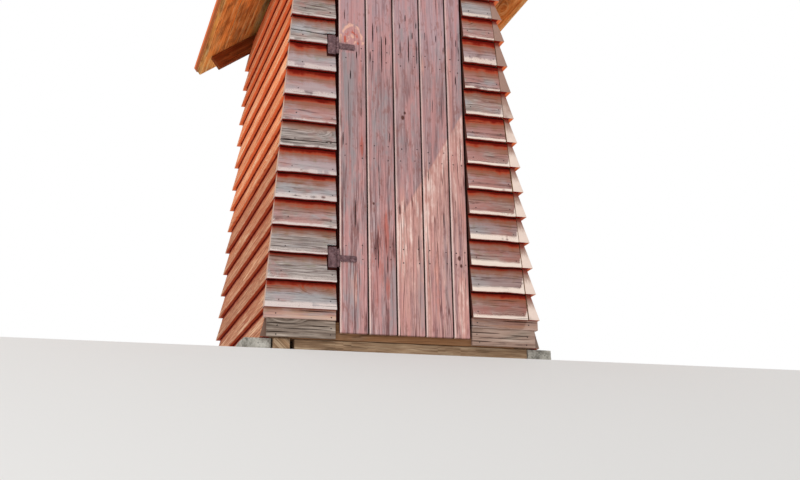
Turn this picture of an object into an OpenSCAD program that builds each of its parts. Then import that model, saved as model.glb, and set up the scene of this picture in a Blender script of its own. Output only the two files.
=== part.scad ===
// Small wooden outhouse: lapped board walls that lean inwards, a plank door on two hinges,
// and a gable roof whose ridge runs from front to back.
// +Z is up, the front faces -Y, and the origin is on the ground under the middle of the roof.

/* [Frame] */
// Width of the wall beside the door at ground level, from the door to the post's outer face
side_strip_w = 350; // [310:1:410]
// Depth over the front and back posts
frame_d = 1490; // [1300:5:1700]
// Inward lean of the two side walls, in degrees
wall_lean = 4.6; // [3:0.1:6]
// Side of a square corner post
post_w = 90; // [70:5:110]
// Thickness of a middle stud
stud_t = 45; // [35:5:60]
// Height of the sill beams
sill_h = 90; // [70:5:110]
// Width of the sill beams
sill_w = 90; // [70:5:110]
// Height of the door head and of the back beam
head_h = 80; // [60:5:90]
// Distance from the door head's top to the top plates' underside
plate_above_head = 158; // [120:2:200]
// Height of the top plates
plate_h = 70; // [50:5:90]
// Width of the top plates
plate_w = 80; // [60:5:100]
// Gap where two leaning or sloping faces meet
slope_gap = 0.2; // [0.1:0.1:0.5]

/* [Base] */
// Height of the stones and timbers that carry the sills
base_h = 66; // [40:2:68]
// Width of a foundation stone
stone_w = 140; // [110:5:160]
// Length of a foundation stone
stone_l = 255; // [180:5:320]
// How far a stone stands out beyond the side wall's frame
stone_out = 120; // [70:5:125]
// Distance from the frame's front or back to a stone
stone_in = 12; // [0:2:60]
// Width of the wood block under the front sill
block_w = 84; // [60:2:90]
// Gap between a front stone and the timber beside it
stone_gap = 4; // [2:1:40]
// Gap between the wood block and the ground timber
block_gap = 22; // [10:2:40]
// Depth of the ground timber and the wood block, from front to back
ground_timber_d = 100; // [60:5:140]
// How far the ground timber's face lies behind the frame's front
ground_timber_in = 6; // [0:1:30]

/* [Floor] */
// Thickness of the floor boards
floor_t = 25; // [18:1:35]
// Width of the floor joist
joist_w = 60; // [40:5:90]
// Gap between the floor and the posts around it
floor_gap = 3; // [2:1:8]

/* [Lapped boards] */
// Thickness of a wall board
board_t = 25; // [18:1:30]
// Height of wall board that shows in each course
course_h = 140; // [120:1:160]
// Gap between the stones and the lowest course
low_course_gap = 3; // [1:1:20]
// Courses beside the door, from the lowest to the door's top
door_courses = 13; // [12:1:14]
// Gap between boards that meet at a corner
board_gap = 0.5; // [0.2:0.1:1]

/* [Front base boards] */
// Height of the wide skirt board
skirt_h = 90; // [70:5:100]
// Thickness of the skirt board
skirt_t = 22; // [15:1:30]
// How far the skirt's ends run past the posts' faces
skirt_over = 25; // [10:1:35]
// Height of the narrow board above the skirt
narrow_h = 61; // [40:1:80]
// Thickness of the narrow board
narrow_t = 32; // [24:1:40]
// How far the narrow board's ends run past the posts' faces
narrow_over = 44; // [20:1:50]

/* [Door] */
// Width of the door
door_w = 690; // [600:5:720]
// Width of the narrow plank at the latch edge
narrow_plank_w = 90; // [60:5:120]
// Thickness of a door plank
plank_t = 25; // [20:1:32]
// Gap between two planks
plank_gap = 2; // [1:0.5:4]
// Gap between the door and the wall boards on the hinge side
hinge_side_gap = 16; // [15:1:24]
// Gap between the door and the wall boards on the latch side
latch_side_gap = 10; // [6:1:20]
// Gap between the door's top and the boards above it
door_top_gap = 10; // [6:1:20]
// How far the door's bottom edge hangs above the stones' tops
door_above_base = 34; // [14:2:60]
// Gap between the door's back and the door posts
door_back_gap = 6; // [5:0.5:10]
// Overlap of the door onto each door post
door_overlap = 25; // [15:1:40]
// Width of a door post
door_post_w = 60; // [50:1:64]
// Height of a ledge on the back of the door
ledge_h = 110; // [80:5:150]
// Thickness of a ledge
ledge_t = 24; // [18:1:30]
// Gap between a ledge's end and the door post
ledge_gap = 12; // [8:1:30]
// Distance from the door's bottom or top to the nearest ledge
ledge_in = 360; // [150:5:420]

/* [Hinges] */
// Distance from the door's top to the upper hinge's middle
upper_hinge_in = 383; // [300:1:520]
// Distance from the door's bottom to the lower hinge's middle
lower_hinge_in = 377; // [280:1:480]
// Thickness of the hinge leaves
leaf_t = 4; // [3:0.5:5]
// Height of the leaf on the jamb
jamb_leaf_h = 118; // [90:2:150]
// Width of the leaf on the jamb
jamb_leaf_w = 46; // [35:1:55]
// Height of the strap on the door
strap_h = 32; // [24:1:40]
// Length of the strap on the door
strap_l = 88; // [60:2:140]
// Outer radius of a knuckle
knuckle_r = 7; // [6:0.5:7.5]
// Radius of the hinge pin
pin_r = 3; // [2.5:0.1:4]
// Radial clearance between the pin and the door's knuckle
pin_clear = 0.08; // [0.05:0.01:0.1]
// Height of a knuckle on the jamb
jamb_knuckle_h = 28; // [20:1:34]
// Gap between two knuckles
knuckle_gap = 0.5; // [0.3:0.1:1]
// Gap between a leaf's edge and the other leaf's knuckle
leaf_edge_clear = 1.5; // [1:0.1:3]
// How far the pin's heads stand above and below the knuckles
pin_head = 3; // [1:0.5:5]
// Margin of the hinge block around the leaf, above and below
block_margin = 4; // [0:1:8]
// Gap between the hinge block and the boards cut away around it
notch_gap = 4; // [2:1:8]

/* [Roof] */
// Pitch of the roof, in degrees
roof_pitch = 35; // [30:0.1:40]
// Distance from the middle to the eave
eave_x = 865; // [830:5:980]
// How far the roof runs past the frame, in front and behind
gable_overhang = 205; // [120:5:300]
// Thickness of the roof boards that show from below
roof_board_t = 25; // [18:1:32]
// Thickness of a lapped board of the roof covering
roofing_t = 18; // [14:1:24]
// Height of covering that shows in each course, along the slope
roofing_course = 145; // [120:5:180]
// Depth of a rafter, across its slope
rafter_h = 90; // [70:5:110]
// Thickness of a rafter
rafter_t = 45; // [35:5:60]
// Distance from the middle to the end of a rafter's tail
rafter_tail_x = 800; // [770:5:820]
// How deep a rafter sits down on the plate
rafter_seat = 35; // [20:1:45]
// Thickness of the ridge board
ridge_board_t = 25; // [20:1:35]
// Height of the ridge board
ridge_board_h = 140; // [120:5:180]
// How far the ridge board's ends stay inside the roof's ends
ridge_board_inset = 20; // [0:5:60]
// Thickness of the ridge cap's boards
cap_t = 18; // [14:1:24]
// How far the ridge cap runs over the top course's lower edge
cap_over = 20; // [5:5:40]

/* [Hidden] */
$fn = 48;

// Colours
stone_colour = [0.66, 0.63, 0.58];
timber_colour = [0.48, 0.37, 0.28];
frame_colour = [0.56, 0.40, 0.27];
front_colour = [0.60, 0.47, 0.45];
side_colour = [0.80, 0.43, 0.28];
door_colour = [0.60, 0.43, 0.43];
roof_colour = [0.70, 0.42, 0.20];
skirt_colour = [0.58, 0.52, 0.48];
iron_colour = [0.33, 0.17, 0.15];

// Width of the frame at ground level, and its half width at a height
frame_w = door_w + 2 * side_strip_w;
function frame_x(z) = frame_w / 2 - z * tan(wall_lean);

// Heights and faces of the frame and its boards
front_y = -frame_d / 2;
sill_top = base_h + sill_h;
floor_top = sill_top + floor_t;
low_course_z = base_h + low_course_gap;
first_course_z = low_course_z + course_h;
narrow_z = first_course_z - narrow_h;
door_top_course_z = first_course_z + door_courses * course_h;
door_bottom_z = base_h + door_above_base;
door_top_z = door_top_course_z - door_top_gap;

// The plate's outer top edge lies on the post's face, and the rafter sits down on it
plate_bottom = door_top_course_z + head_h + plate_above_head;
plate_top = plate_bottom + plate_h;
plate_out_x = frame_x(plate_top);
rafter_drop = rafter_h / cos(roof_pitch);

// Roof: height of the roof boards' underside at the ridge, and at a distance from the middle
ridge_z = plate_top - rafter_seat + rafter_drop + plate_out_x * tan(roof_pitch);
function roof_under(x) = ridge_z - abs(x) * tan(roof_pitch);
roof_l = frame_d + 2 * gable_overhang;
slope_l = eave_x / cos(roof_pitch);
rafter_end_y = -front_y - rafter_t / 2;

// The middle rafter is cut off plumb behind the side boards
short_rafter_x = frame_x(roof_under(plate_out_x)) - slope_gap;
gable_courses = ceil((ridge_z - door_top_course_z) / course_h);

// The roof boards' top at the ridge, and the lapped covering on it
roof_board_rise = roof_board_t / cos(roof_pitch);
boards_top_z = ridge_z + slope_gap / cos(roof_pitch) + roof_board_rise;
roofing_courses = round(slope_l / roofing_course);
top_butt_s = slope_l - (roofing_courses - 1) * roofing_course;

// A point on the right slope: distance down from the ridge, and height above the roof boards
function on_slope(s, n) = [
    s * cos(roof_pitch) + n * sin(roof_pitch),
    boards_top_z - s * sin(roof_pitch) + n * cos(roof_pitch)
];

// The front timbers' ends beside the stones, and the wood block's left end
front_timber_x = frame_w / 2 + stone_out - stone_w - stone_gap;
block_x0 = -front_timber_x;

// Door
door_left_x = -door_w / 2;
door_right_x = door_w / 2;
opening_x = door_w / 2 - door_overlap;
wide_plank_count = 4;
wide_plank_w = (door_w - narrow_plank_w) / wide_plank_count;
door_back_y = front_y - door_back_gap;
door_face_y = door_back_y - plank_t;
boards_left_x = door_left_x - hinge_side_gap;
boards_right_x = door_right_x + latch_side_gap;

// Hinges: the pin stands in front of the door's face, in the middle of the gap
pin_x = door_left_x - hinge_side_gap / 2;
pin_y = door_face_y - knuckle_r;
leaf_edge_gap = knuckle_r + leaf_edge_clear;
hinge_block_h = jamb_leaf_h + 2 * block_margin;
upper_hinge_z = door_top_z - upper_hinge_in;
lower_hinge_z = door_bottom_z + lower_hinge_in;
hinge_zs = [upper_hinge_z, lower_hinge_z];

// Knuckles of the jamb's leaf stand above and below the door's knuckle
jamb_knuckle_zs = [
    -strap_h / 2 - knuckle_gap - jamb_knuckle_h,
    strap_h / 2 + knuckle_gap
];

// Past the largest outline, for cuts that run right through
far = 3000;

// A prism along Y from an outline in X and Z
module along_y(points, y0, y1) {
    translate([0, y1, 0]) rotate([90, 0, 0]) linear_extrude(y1 - y0) polygon(points);
}

// A prism along X from an outline in Y and Z
module along_x(points, x0, x1) {
    translate([x0, 0, 0]) rotate([90, 0, 90]) linear_extrude(x1 - x0) polygon(points);
}

module box(x0, x1, y0, y1, z0, z1) {
    translate([x0, y0, z0]) cube([x1 - x0, y1 - y0, z1 - z0]);
}

module both_sides() {
    children();
    mirror([1, 0, 0]) children();
}

// A timber that stands on the right side's lean
module leaning_timber(w, z0, z1, y0, y1) {
    along_y([
        [frame_x(z0), z0], [frame_x(z1), z1], [frame_x(z1) - w, z1], [frame_x(z0) - w, z0]
    ], y0, y1);
}

// A beam that fits between the leaning posts
module beam_between_posts(z0, z1, y0, y1) {
    x0 = frame_x(z0) - post_w - slope_gap;
    x1 = frame_x(z1) - post_w - slope_gap;
    along_y([[-x0, z0], [x0, z0], [x1, z1], [-x1, z1]], y0, y1);
}

// Outer outline of lapped courses: [distance out from the frame, height]
function lapped_outline(z0, courses) = [
    for (i = [0 : courses - 1], upper = [0, 1])
        [board_t * (2 - upper), z0 + (i + upper) * course_h]
];
function side_courses() = ceil((ridge_z - low_course_z) / course_h);

// Everything under the roof boards
module under_roof() {
    along_y([
        [-far, roof_under(far)], [0, ridge_z], [far, roof_under(far)],
        [far, -far], [-far, -far]
    ], -far, far);
}

// The side boards' outer outline on the right
side_outline = [
    for (p = lapped_outline(low_course_z, side_courses())) [frame_x(p[1]) + p[0], p[1]]
];
side_top_z = side_outline[len(side_outline) - 1][1];

// The face of the front wall between two heights. On the left its boards run over the side
// boards' ends and follow their outline. On the right they stop behind the side boards.
module gable_face(x0, x1, z0, z1) {
    left_outline = [
        for (i = [len(side_outline) - 1 : -1 : 0]) [-side_outline[i][0], side_outline[i][1]]
    ];
    intersection() {
        under_roof();
        along_y(concat([
            [frame_x(low_course_z) - board_gap, low_course_z],
            [frame_x(side_top_z) - board_gap, side_top_z]
        ], left_outline), -far, far);
        box(x0, x1, -far, far, z0, z1);
    }
}

// Lapped boards on the front, between two X positions
module front_boards(x0, x1, z0, z1) {
    courses = ceil((z1 - z0) / course_h);
    outline = lapped_outline(z0, courses);
    difference() {
        intersection() {
            along_x(concat(
                [for (p = outline) [front_y - p[0], p[1]]],
                [[front_y, outline[len(outline) - 1][1]], [front_y, z0]]
            ), -far, far);
            gable_face(x0, x1, z0, z1);
        }
        ridge_beam(board_gap);
    }
}

// Lapped boards on the back, which are the front's turned round
module back_boards(z0, z1) {
    rotate([0, 0, 180]) front_boards(-far, far, z0, z1);
}

// Everything between the face of the front's lapped boards and the back boards;
// below a height the front is the frame's own face
module behind_front_boards(from_z) {
    outline = lapped_outline(from_z, ceil((side_top_z - from_z) / course_h));
    along_x(concat(
        [for (p = outline) [front_y - p[0], p[1]]],
        [
            [front_y, outline[len(outline) - 1][1]], [-front_y, outline[len(outline) - 1][1]],
            [-front_y, low_course_z], [front_y, low_course_z], [front_y, from_z]
        ]
    ), -far, far);
}

// Lapped boards on the right side, cut under the roof and around the rafters. Their front ends
// run over the front boards' ends from a height up, and their back ends stop at the back boards.
module side_boards(from_z) {
    difference() {
        intersection() {
            along_y(concat(side_outline, [
                [frame_x(side_top_z) + slope_gap, side_top_z],
                [frame_x(low_course_z) + slope_gap, low_course_z]
            ]), -far, far);
            behind_front_boards(from_z);
            under_roof();
        }
        for (y = [-rafter_end_y, rafter_end_y]) rafter(y, board_gap);
    }
}

module foundation_stones() {
    color(stone_colour)
        both_sides()
            for (side = [-1, 1])
                box(
                    frame_w / 2 + stone_out - stone_w, frame_w / 2 + stone_out,
                    side > 0 ? -front_y - stone_in - stone_l : front_y + stone_in,
                    side > 0 ? -front_y - stone_in : front_y + stone_in + stone_l,
                    0, base_h
                );
}

module ground_timber() {
    color(timber_colour)
        box(
            block_x0 + block_w + block_gap, front_timber_x,
            front_y + ground_timber_in, front_y + ground_timber_in + ground_timber_d,
            0, base_h
        );
}

module sill_block() {
    color(timber_colour)
        box(block_x0, block_x0 + block_w, front_y, front_y + ground_timber_d, 0, base_h);
}

module side_sills() {
    color(timber_colour)
        both_sides() leaning_timber(sill_w, base_h, sill_top, front_y, -front_y);
}

// A cross sill fits between the side sills
module cross_sill(y0, y1) {
    x0 = frame_x(base_h) - sill_w - slope_gap;
    x1 = frame_x(sill_top) - sill_w - slope_gap;
    along_y([[-x0, base_h], [x0, base_h], [x1, sill_top], [-x1, sill_top]], y0, y1);
}

module front_sill() {
    color(timber_colour) cross_sill(front_y, front_y + sill_w);
}

module back_sill() {
    color(timber_colour) cross_sill(-front_y - sill_w, -front_y);
}

module floor_joist() {
    color(timber_colour) cross_sill(-joist_w / 2, joist_w / 2);
}

// The floor lies on the sills and is cut out around the posts and studs
module floor() {
    x = frame_x(floor_top) - floor_gap;
    y = frame_d / 2 - floor_gap;
    post_x = frame_x(floor_top) - post_w - floor_gap;
    post_y = frame_d / 2 - post_w - floor_gap;
    stud_y = stud_t / 2 + floor_gap;
    color(frame_colour)
        difference() {
            box(-x, x, -y, y, sill_top, floor_top);
            both_sides() {
                for (side = [0, 1])
                    mirror([0, side, 0]) box(post_x, far, post_y, far, 0, far);
                box(post_x, far, -stud_y, stud_y, 0, far);
                box(
                    opening_x - floor_gap, opening_x + door_post_w + floor_gap,
                    -far, -post_y, 0, far
                );
            }
            box(-stud_y, stud_y, post_y, far, 0, far);
        }
}

module front_posts() {
    color(frame_colour)
        both_sides() leaning_timber(post_w, sill_top, plate_bottom, front_y, front_y + post_w);
}

module back_posts() {
    color(frame_colour)
        both_sides() leaning_timber(post_w, sill_top, plate_bottom, -front_y - post_w, -front_y);
}

module side_studs() {
    color(frame_colour)
        both_sides() leaning_timber(post_w, sill_top, plate_bottom, -stud_t / 2, stud_t / 2);
}

module back_stud() {
    color(frame_colour)
        box(-stud_t / 2, stud_t / 2, -front_y - post_w, -front_y, sill_top, door_top_course_z);
}

module door_posts() {
    color(frame_colour)
        both_sides()
            box(
                opening_x, opening_x + door_post_w,
                front_y, front_y + post_w, sill_top, door_top_course_z
            );
}

module door_head() {
    color(frame_colour)
        beam_between_posts(
            door_top_course_z, door_top_course_z + head_h, front_y, front_y + post_w
        );
}

module back_beam() {
    color(frame_colour)
        beam_between_posts(
            door_top_course_z, door_top_course_z + head_h, -front_y - post_w, -front_y
        );
}

module plate() {
    box(plate_out_x - plate_w, plate_out_x, front_y, -front_y, plate_bottom, plate_top);
}

module side_plates() {
    color(frame_colour) both_sides() plate();
}

// The right rafter at a place along Y, grown by a margin where it cuts the wall boards
module rafter(y, margin) {
    top_x = ridge_board_t / 2;
    out_x = rafter_tail_x + margin;
    drop = rafter_h + margin;
    along_y([
        [top_x, roof_under(top_x)],
        [out_x, roof_under(out_x)],
        [out_x - drop * sin(roof_pitch), roof_under(out_x) - drop * cos(roof_pitch)],
        [top_x, roof_under(top_x) - drop / cos(roof_pitch)]
    ], y - rafter_t / 2 - margin, y + rafter_t / 2 + margin);
}

// The right middle rafter, which has no tail
module short_rafter() {
    top_x = ridge_board_t / 2;
    along_y([
        [top_x, roof_under(top_x)],
        [short_rafter_x, roof_under(short_rafter_x)],
        [short_rafter_x, roof_under(short_rafter_x) - rafter_drop],
        [top_x, roof_under(top_x) - rafter_drop]
    ], -rafter_t / 2, rafter_t / 2);
}

// A rafter on each side, seated on the plates
module rafter_pair() {
    color(frame_colour)
        both_sides()
            difference() {
                children();
                plate();
            }
}

module front_rafters() {
    rafter_pair() rafter(-rafter_end_y, 0);
}

module middle_rafters() {
    rafter_pair() short_rafter();
}

module back_rafters() {
    rafter_pair() rafter(rafter_end_y, 0);
}

// The ridge board, grown by a margin where it passes through the gables
module ridge_beam(margin) {
    top = roof_under(ridge_board_t / 2);
    half_t = ridge_board_t / 2 + margin;
    reach = roof_l / 2 - ridge_board_inset;
    box(-half_t, half_t, -reach, reach, top - ridge_board_h - margin, top + margin);
}

module ridge_board() {
    color(frame_colour) ridge_beam(0);
}

// The right slope's roof boards, which show from below
module roof_boards() {
    eave = on_slope(slope_l, 0);
    along_y([
        [0, boards_top_z - roof_board_rise], [eave[0], eave[1] - roof_board_rise],
        eave, [0, boards_top_z]
    ], -roof_l / 2, roof_l / 2);
}

module right_roof_boards() {
    color(roof_colour) roof_boards();
}

module left_roof_boards() {
    color(roof_colour) mirror([1, 0, 0]) roof_boards();
}

// Lapped boards of the covering; the top course runs up to the ridge
module roofing() {
    ridge_s = -roofing_t * tan(roof_pitch);
    along_y(concat(
        [[0, boards_top_z]],
        [on_slope(slope_l, 0)],
        [for (i = [0 : roofing_courses - 1], upper = [0, 1])
            i == roofing_courses - 1 && upper == 1
                ? on_slope(ridge_s, roofing_t)
                : on_slope(slope_l - (i + upper) * roofing_course, roofing_t * (2 - upper))]
    ), -roof_l / 2, roof_l / 2);
}

module right_roofing() {
    color(side_colour) roofing();
}

module left_roofing() {
    color(side_colour) mirror([1, 0, 0]) roofing();
}

module ridge_cap() {
    low_n = 2 * roofing_t;
    high_n = low_n + cap_t;
    reach_s = top_butt_s + cap_over;
    low = on_slope(reach_s, low_n);
    high = on_slope(reach_s, high_n);
    low_peak = boards_top_z + low_n / cos(roof_pitch);
    high_peak = boards_top_z + high_n / cos(roof_pitch);
    color(side_colour)
        along_y([
            [0, low_peak], low, high, [0, high_peak], [-high[0], high[1]], [-low[0], low[1]]
        ], -roof_l / 2, roof_l / 2);
}

module right_wall() {
    color(side_colour) side_boards(first_course_z);
}

module left_wall() {
    color(side_colour) rotate([0, 0, 180]) side_boards(low_course_z);
}

module back_wall() {
    color(side_colour) back_boards(low_course_z, door_top_course_z);
}

module back_gable() {
    color(side_colour) back_boards(door_top_course_z, door_top_course_z + gable_courses * course_h);
}

module front_wall_left() {
    color(front_colour)
        difference() {
            front_boards(-far, boards_left_x, first_course_z, door_top_course_z);
            for (z = hinge_zs) hinge_notch(z);
        }
}

module front_wall_right() {
    color(front_colour) front_boards(boards_right_x, far, first_course_z, door_top_course_z);
}

module front_gable() {
    color(front_colour)
        front_boards(-far, far, door_top_course_z, door_top_course_z + gable_courses * course_h);
}

// Flat base boards beside the door, on both sides
module base_boards(z0, z1, t, over) {
    both_ends = frame_x(z1) + over;
    box(-both_ends, boards_left_x, front_y - t, front_y, z0, z1);
    box(boards_right_x, both_ends, front_y - t, front_y, z0, z1);
}

module skirt_boards() {
    color(skirt_colour) base_boards(narrow_z - skirt_h, narrow_z, skirt_t, skirt_over);
}

module narrow_boards() {
    color(skirt_colour) base_boards(narrow_z, first_course_z, narrow_t, narrow_over);
}

module hinge_notch(z) {
    box(
        boards_left_x - jamb_leaf_w - notch_gap, 0, -far, front_y,
        z - hinge_block_h / 2 - notch_gap, z + hinge_block_h / 2 + notch_gap
    );
}

// Wood blocks on the door post that carry the leaves
module hinge_blocks() {
    color(timber_colour)
        for (z = hinge_zs)
            box(
                boards_left_x - jamb_leaf_w, boards_left_x, door_face_y, front_y,
                z - hinge_block_h / 2, z + hinge_block_h / 2
            );
}

module hinge_plate(z) {
    pin_reach = strap_h / 2 + knuckle_gap + jamb_knuckle_h + pin_head;
    color(iron_colour) {
        translate([pin_x, pin_y, z]) {
            box(
                boards_left_x - jamb_leaf_w - pin_x, -leaf_edge_gap,
                knuckle_r - leaf_t, knuckle_r, -jamb_leaf_h / 2, jamb_leaf_h / 2
            );
            for (k = jamb_knuckle_zs) {
                translate([0, 0, k]) cylinder(r = knuckle_r, h = jamb_knuckle_h);
                box(
                    -leaf_edge_gap, 0, knuckle_r - leaf_t, knuckle_r, k, k + jamb_knuckle_h
                );
            }
            translate([0, 0, -pin_reach]) cylinder(r = pin_r, h = 2 * pin_reach);
        }
    }
}

module upper_hinge_plate() {
    hinge_plate(upper_hinge_z);
}

module lower_hinge_plate() {
    hinge_plate(lower_hinge_z);
}

module strap(z) {
    color(iron_colour)
        translate([pin_x, pin_y, z - strap_h / 2])
            difference() {
                union() {
                    cylinder(r = knuckle_r, h = strap_h);
                    box(0, hinge_side_gap / 2 + strap_l, knuckle_r - leaf_t, knuckle_r, 0, strap_h);
                }
                translate([0, 0, -strap_h]) cylinder(r = pin_r + pin_clear, h = 3 * strap_h);
            }
}

module upper_strap() {
    strap(upper_hinge_z);
}

module lower_strap() {
    strap(lower_hinge_z);
}

// A door plank, counted from the hinge edge
module door_plank(i) {
    x0 = door_left_x + i * wide_plank_w;
    x1 = i < wide_plank_count ? x0 + wide_plank_w : door_right_x;
    color(door_colour)
        box(
            i == 0 ? x0 : x0 + plank_gap / 2,
            i < wide_plank_count ? x1 - plank_gap / 2 : x1,
            door_face_y, door_back_y, door_bottom_z, door_top_z
        );
}

module door_ledges() {
    reach = opening_x - ledge_gap;
    z0s = [
        door_bottom_z + ledge_in,
        (door_bottom_z + door_top_z - ledge_h) / 2,
        door_top_z - ledge_in - ledge_h
    ];
    color(door_colour)
        for (z0 = z0s)
            box(-reach, reach, door_back_y, door_back_y + ledge_t, z0, z0 + ledge_h);
}

foundation_stones();
ground_timber();
sill_block();
side_sills();
front_sill();
back_sill();
floor_joist();
floor();
front_posts();
back_posts();
side_studs();
back_stud();
door_posts();
door_head();
side_plates();
back_beam();
front_rafters();
middle_rafters();
back_rafters();
ridge_board();
left_roof_boards();
right_roof_boards();
left_roofing();
right_roofing();
ridge_cap();
left_wall();
right_wall();
back_wall();
back_gable();
front_wall_left();
front_wall_right();
front_gable();
skirt_boards();
narrow_boards();
hinge_blocks();
upper_hinge_plate();
lower_hinge_plate();
door_plank(0);  // door_plank_1
door_plank(1);  // door_plank_2
door_plank(2);  // door_plank_3
door_plank(3);  // door_plank_4
door_plank(4);  // door_plank_5
door_ledges();
upper_strap();
lower_strap();
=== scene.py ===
import math
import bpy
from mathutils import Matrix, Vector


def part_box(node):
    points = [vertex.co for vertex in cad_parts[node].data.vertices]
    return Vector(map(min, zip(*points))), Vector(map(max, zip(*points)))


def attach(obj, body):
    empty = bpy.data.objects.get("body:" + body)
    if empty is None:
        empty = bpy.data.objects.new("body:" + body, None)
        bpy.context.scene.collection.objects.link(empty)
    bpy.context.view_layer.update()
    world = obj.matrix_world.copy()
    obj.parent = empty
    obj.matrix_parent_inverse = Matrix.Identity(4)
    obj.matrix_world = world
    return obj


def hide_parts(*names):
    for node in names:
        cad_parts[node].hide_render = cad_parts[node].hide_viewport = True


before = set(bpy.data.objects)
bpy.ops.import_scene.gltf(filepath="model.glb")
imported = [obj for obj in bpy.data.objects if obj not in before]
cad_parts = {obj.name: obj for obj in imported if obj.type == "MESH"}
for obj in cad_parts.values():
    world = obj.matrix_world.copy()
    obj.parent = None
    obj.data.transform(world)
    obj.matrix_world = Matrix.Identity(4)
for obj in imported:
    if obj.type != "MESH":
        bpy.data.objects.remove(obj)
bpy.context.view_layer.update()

from types import SimpleNamespace

import bmesh
import bpy
import numpy as np
from mathutils import Matrix, Vector, noise
from mathutils.bvhtree import BVHTree

scene = bpy.context.scene
scene.view_settings.view_transform = "Standard"


def span(node, axis):
    low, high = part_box(node)
    return low[axis], high[axis]


# The hut's own form, read from the frame where a node gives it
hut = SimpleNamespace(
    lean=math.tan(math.radians(4.6)),         # how fast the side walls come in
    sine=math.sin(math.radians(35)), cosine=math.cos(math.radians(35)), slope=math.tan(math.radians(35)),
    boardThick=0.025, courseHigh=0.140,
    frontY=span("front_posts", 1)[0],
    lowCourse=span("left_wall", 2)[0],
    firstCourse=span("front_wall_left", 2)[0],
    doorTop=span("front_wall_left", 2)[1],
    leftGap=span("front_wall_left", 0)[1] - 0.0035,
    rightGap=span("front_wall_right", 0)[0] + 0.001,
    roofEnd=span("right_roof_boards", 1)[1],
)
hut.footHalf = span("side_sills", 0)[1] + span("side_sills", 2)[0] * hut.lean
hut.ridge = span("ridge_board", 2)[1] + span("ridge_board", 0)[1] * hut.slope
slopeLong = span("right_roof_boards", 0)[1] / hut.cosine
print("frame read: ridge at", round(hut.ridge, 3), "half width at the ground", round(hut.footHalf, 3))


# Nodes

class Num:
    # a number that nodes work out, so that formulas read as formulas
    def __init__(self, wiring, socket):
        self.wiring = wiring
        self.socket = socket

    def __add__(self, other):
        return self.wiring.math("ADD", self, other)

    def __mul__(self, other):
        return self.wiring.math("MULTIPLY", self, other)

    def __sub__(self, other):
        return self.wiring.math("SUBTRACT", self, other)

    def __rsub__(self, other):
        return self.wiring.math("SUBTRACT", other, self)

    def __truediv__(self, other):
        return self.wiring.math("DIVIDE", self, other)

    __radd__ = __add__
    __rmul__ = __mul__


class Wiring:
    # short ways to add nodes to one tree and join them
    def __init__(self, tree):
        self.tree = tree

    def add(self, kind, inputs=None, **settings):
        node = self.tree.nodes.new(kind)
        for key, value in settings.items():
            setattr(node, key, value)
        for key, value in (inputs or {}).items():
            socket = node.inputs[key]
            if isinstance(key, str):
                socket = next(s for s in node.inputs if s.name == key and s.enabled)
            value = getattr(value, "socket", value)
            if isinstance(value, bpy.types.NodeSocket):
                self.tree.links.new(value, socket)
            else:
                socket.default_value = value
        return node

    def out(self, kind, inputs=None, **settings):
        return self.add(kind, inputs, **settings).outputs[0]

    def math(self, operation, a, b=0.0):
        return Num(self, self.out("ShaderNodeMath", {0: a, 1: b}, operation=operation))

    def least(self, a, b):
        return self.math("MINIMUM", a, b)

    def most(self, a, b):
        return self.math("MAXIMUM", a, b)

    def over(self, a, b):
        return self.math("GREATER_THAN", a, b)

    def far(self, a, b):
        return self.math("SQRT", self.math("POWER", a, 2) + self.math("POWER", b, 2))

    def lerp(self, a, b, t):
        return a + (b - a) * t

    def ease(self, value, low, high, first=0.0, last=1.0):
        return Num(self, self.out("ShaderNodeMapRange", {0: value, 1: low, 2: high, 3: first, 4: last},
                                  interpolation_type="SMOOTHSTEP"))

    def xyz(self, x, y, z):
        return self.out("ShaderNodeCombineXYZ", {0: x, 1: y, 2: z})

    def parts(self, vector):
        return [Num(self, socket) for socket in self.add("ShaderNodeSeparateXYZ", {0: vector}).outputs]

    def noise(self, x, y, z, detail=2.0, roughness=0.5, distortion=0.0):
        return Num(self, self.out("ShaderNodeTexNoise", {
            "Vector": self.xyz(x, y, z), "Scale": 1.0, "Detail": detail, "Roughness": roughness,
            "Distortion": distortion}))

    def chance(self, value):
        return Num(self, self.out("ShaderNodeTexWhiteNoise", {"W": value}, noise_dimensions="1D"))

    def store(self, geometry, name, value, kind="FLOAT", domain="CORNER"):
        inputs = {"Geometry": geometry, "Name": name, "Value": value}
        return self.out("GeometryNodeStoreNamedAttribute", inputs, data_type=kind, domain=domain)

    def named(self, name, kind):
        node = self.add("GeometryNodeInputNamedAttribute", {"Name": name}, data_type=kind)
        return next(s for s in node.outputs if s.name == "Attribute" and s.enabled)

    def onFaces(self, value):
        # each face's own mean of a value
        node = self.add("GeometryNodeFieldOnDomain", {"Value": value}, domain="FACE", data_type="FLOAT")
        return Num(self, next(s for s in node.outputs if s.enabled))


def hues(codes):
    # colours as the eye reads them, six hex digits each, made linear
    linear = {}
    for name, code in codes.items():
        parts = [int(code[i:i + 2], 16) / 255 for i in (0, 2, 4)]
        linear[name] = (*[c / 12.92 if c <= 0.04045 else ((c + 0.055) / 1.055) ** 2.4 for c in parts], 1.0)
    return linear


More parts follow.
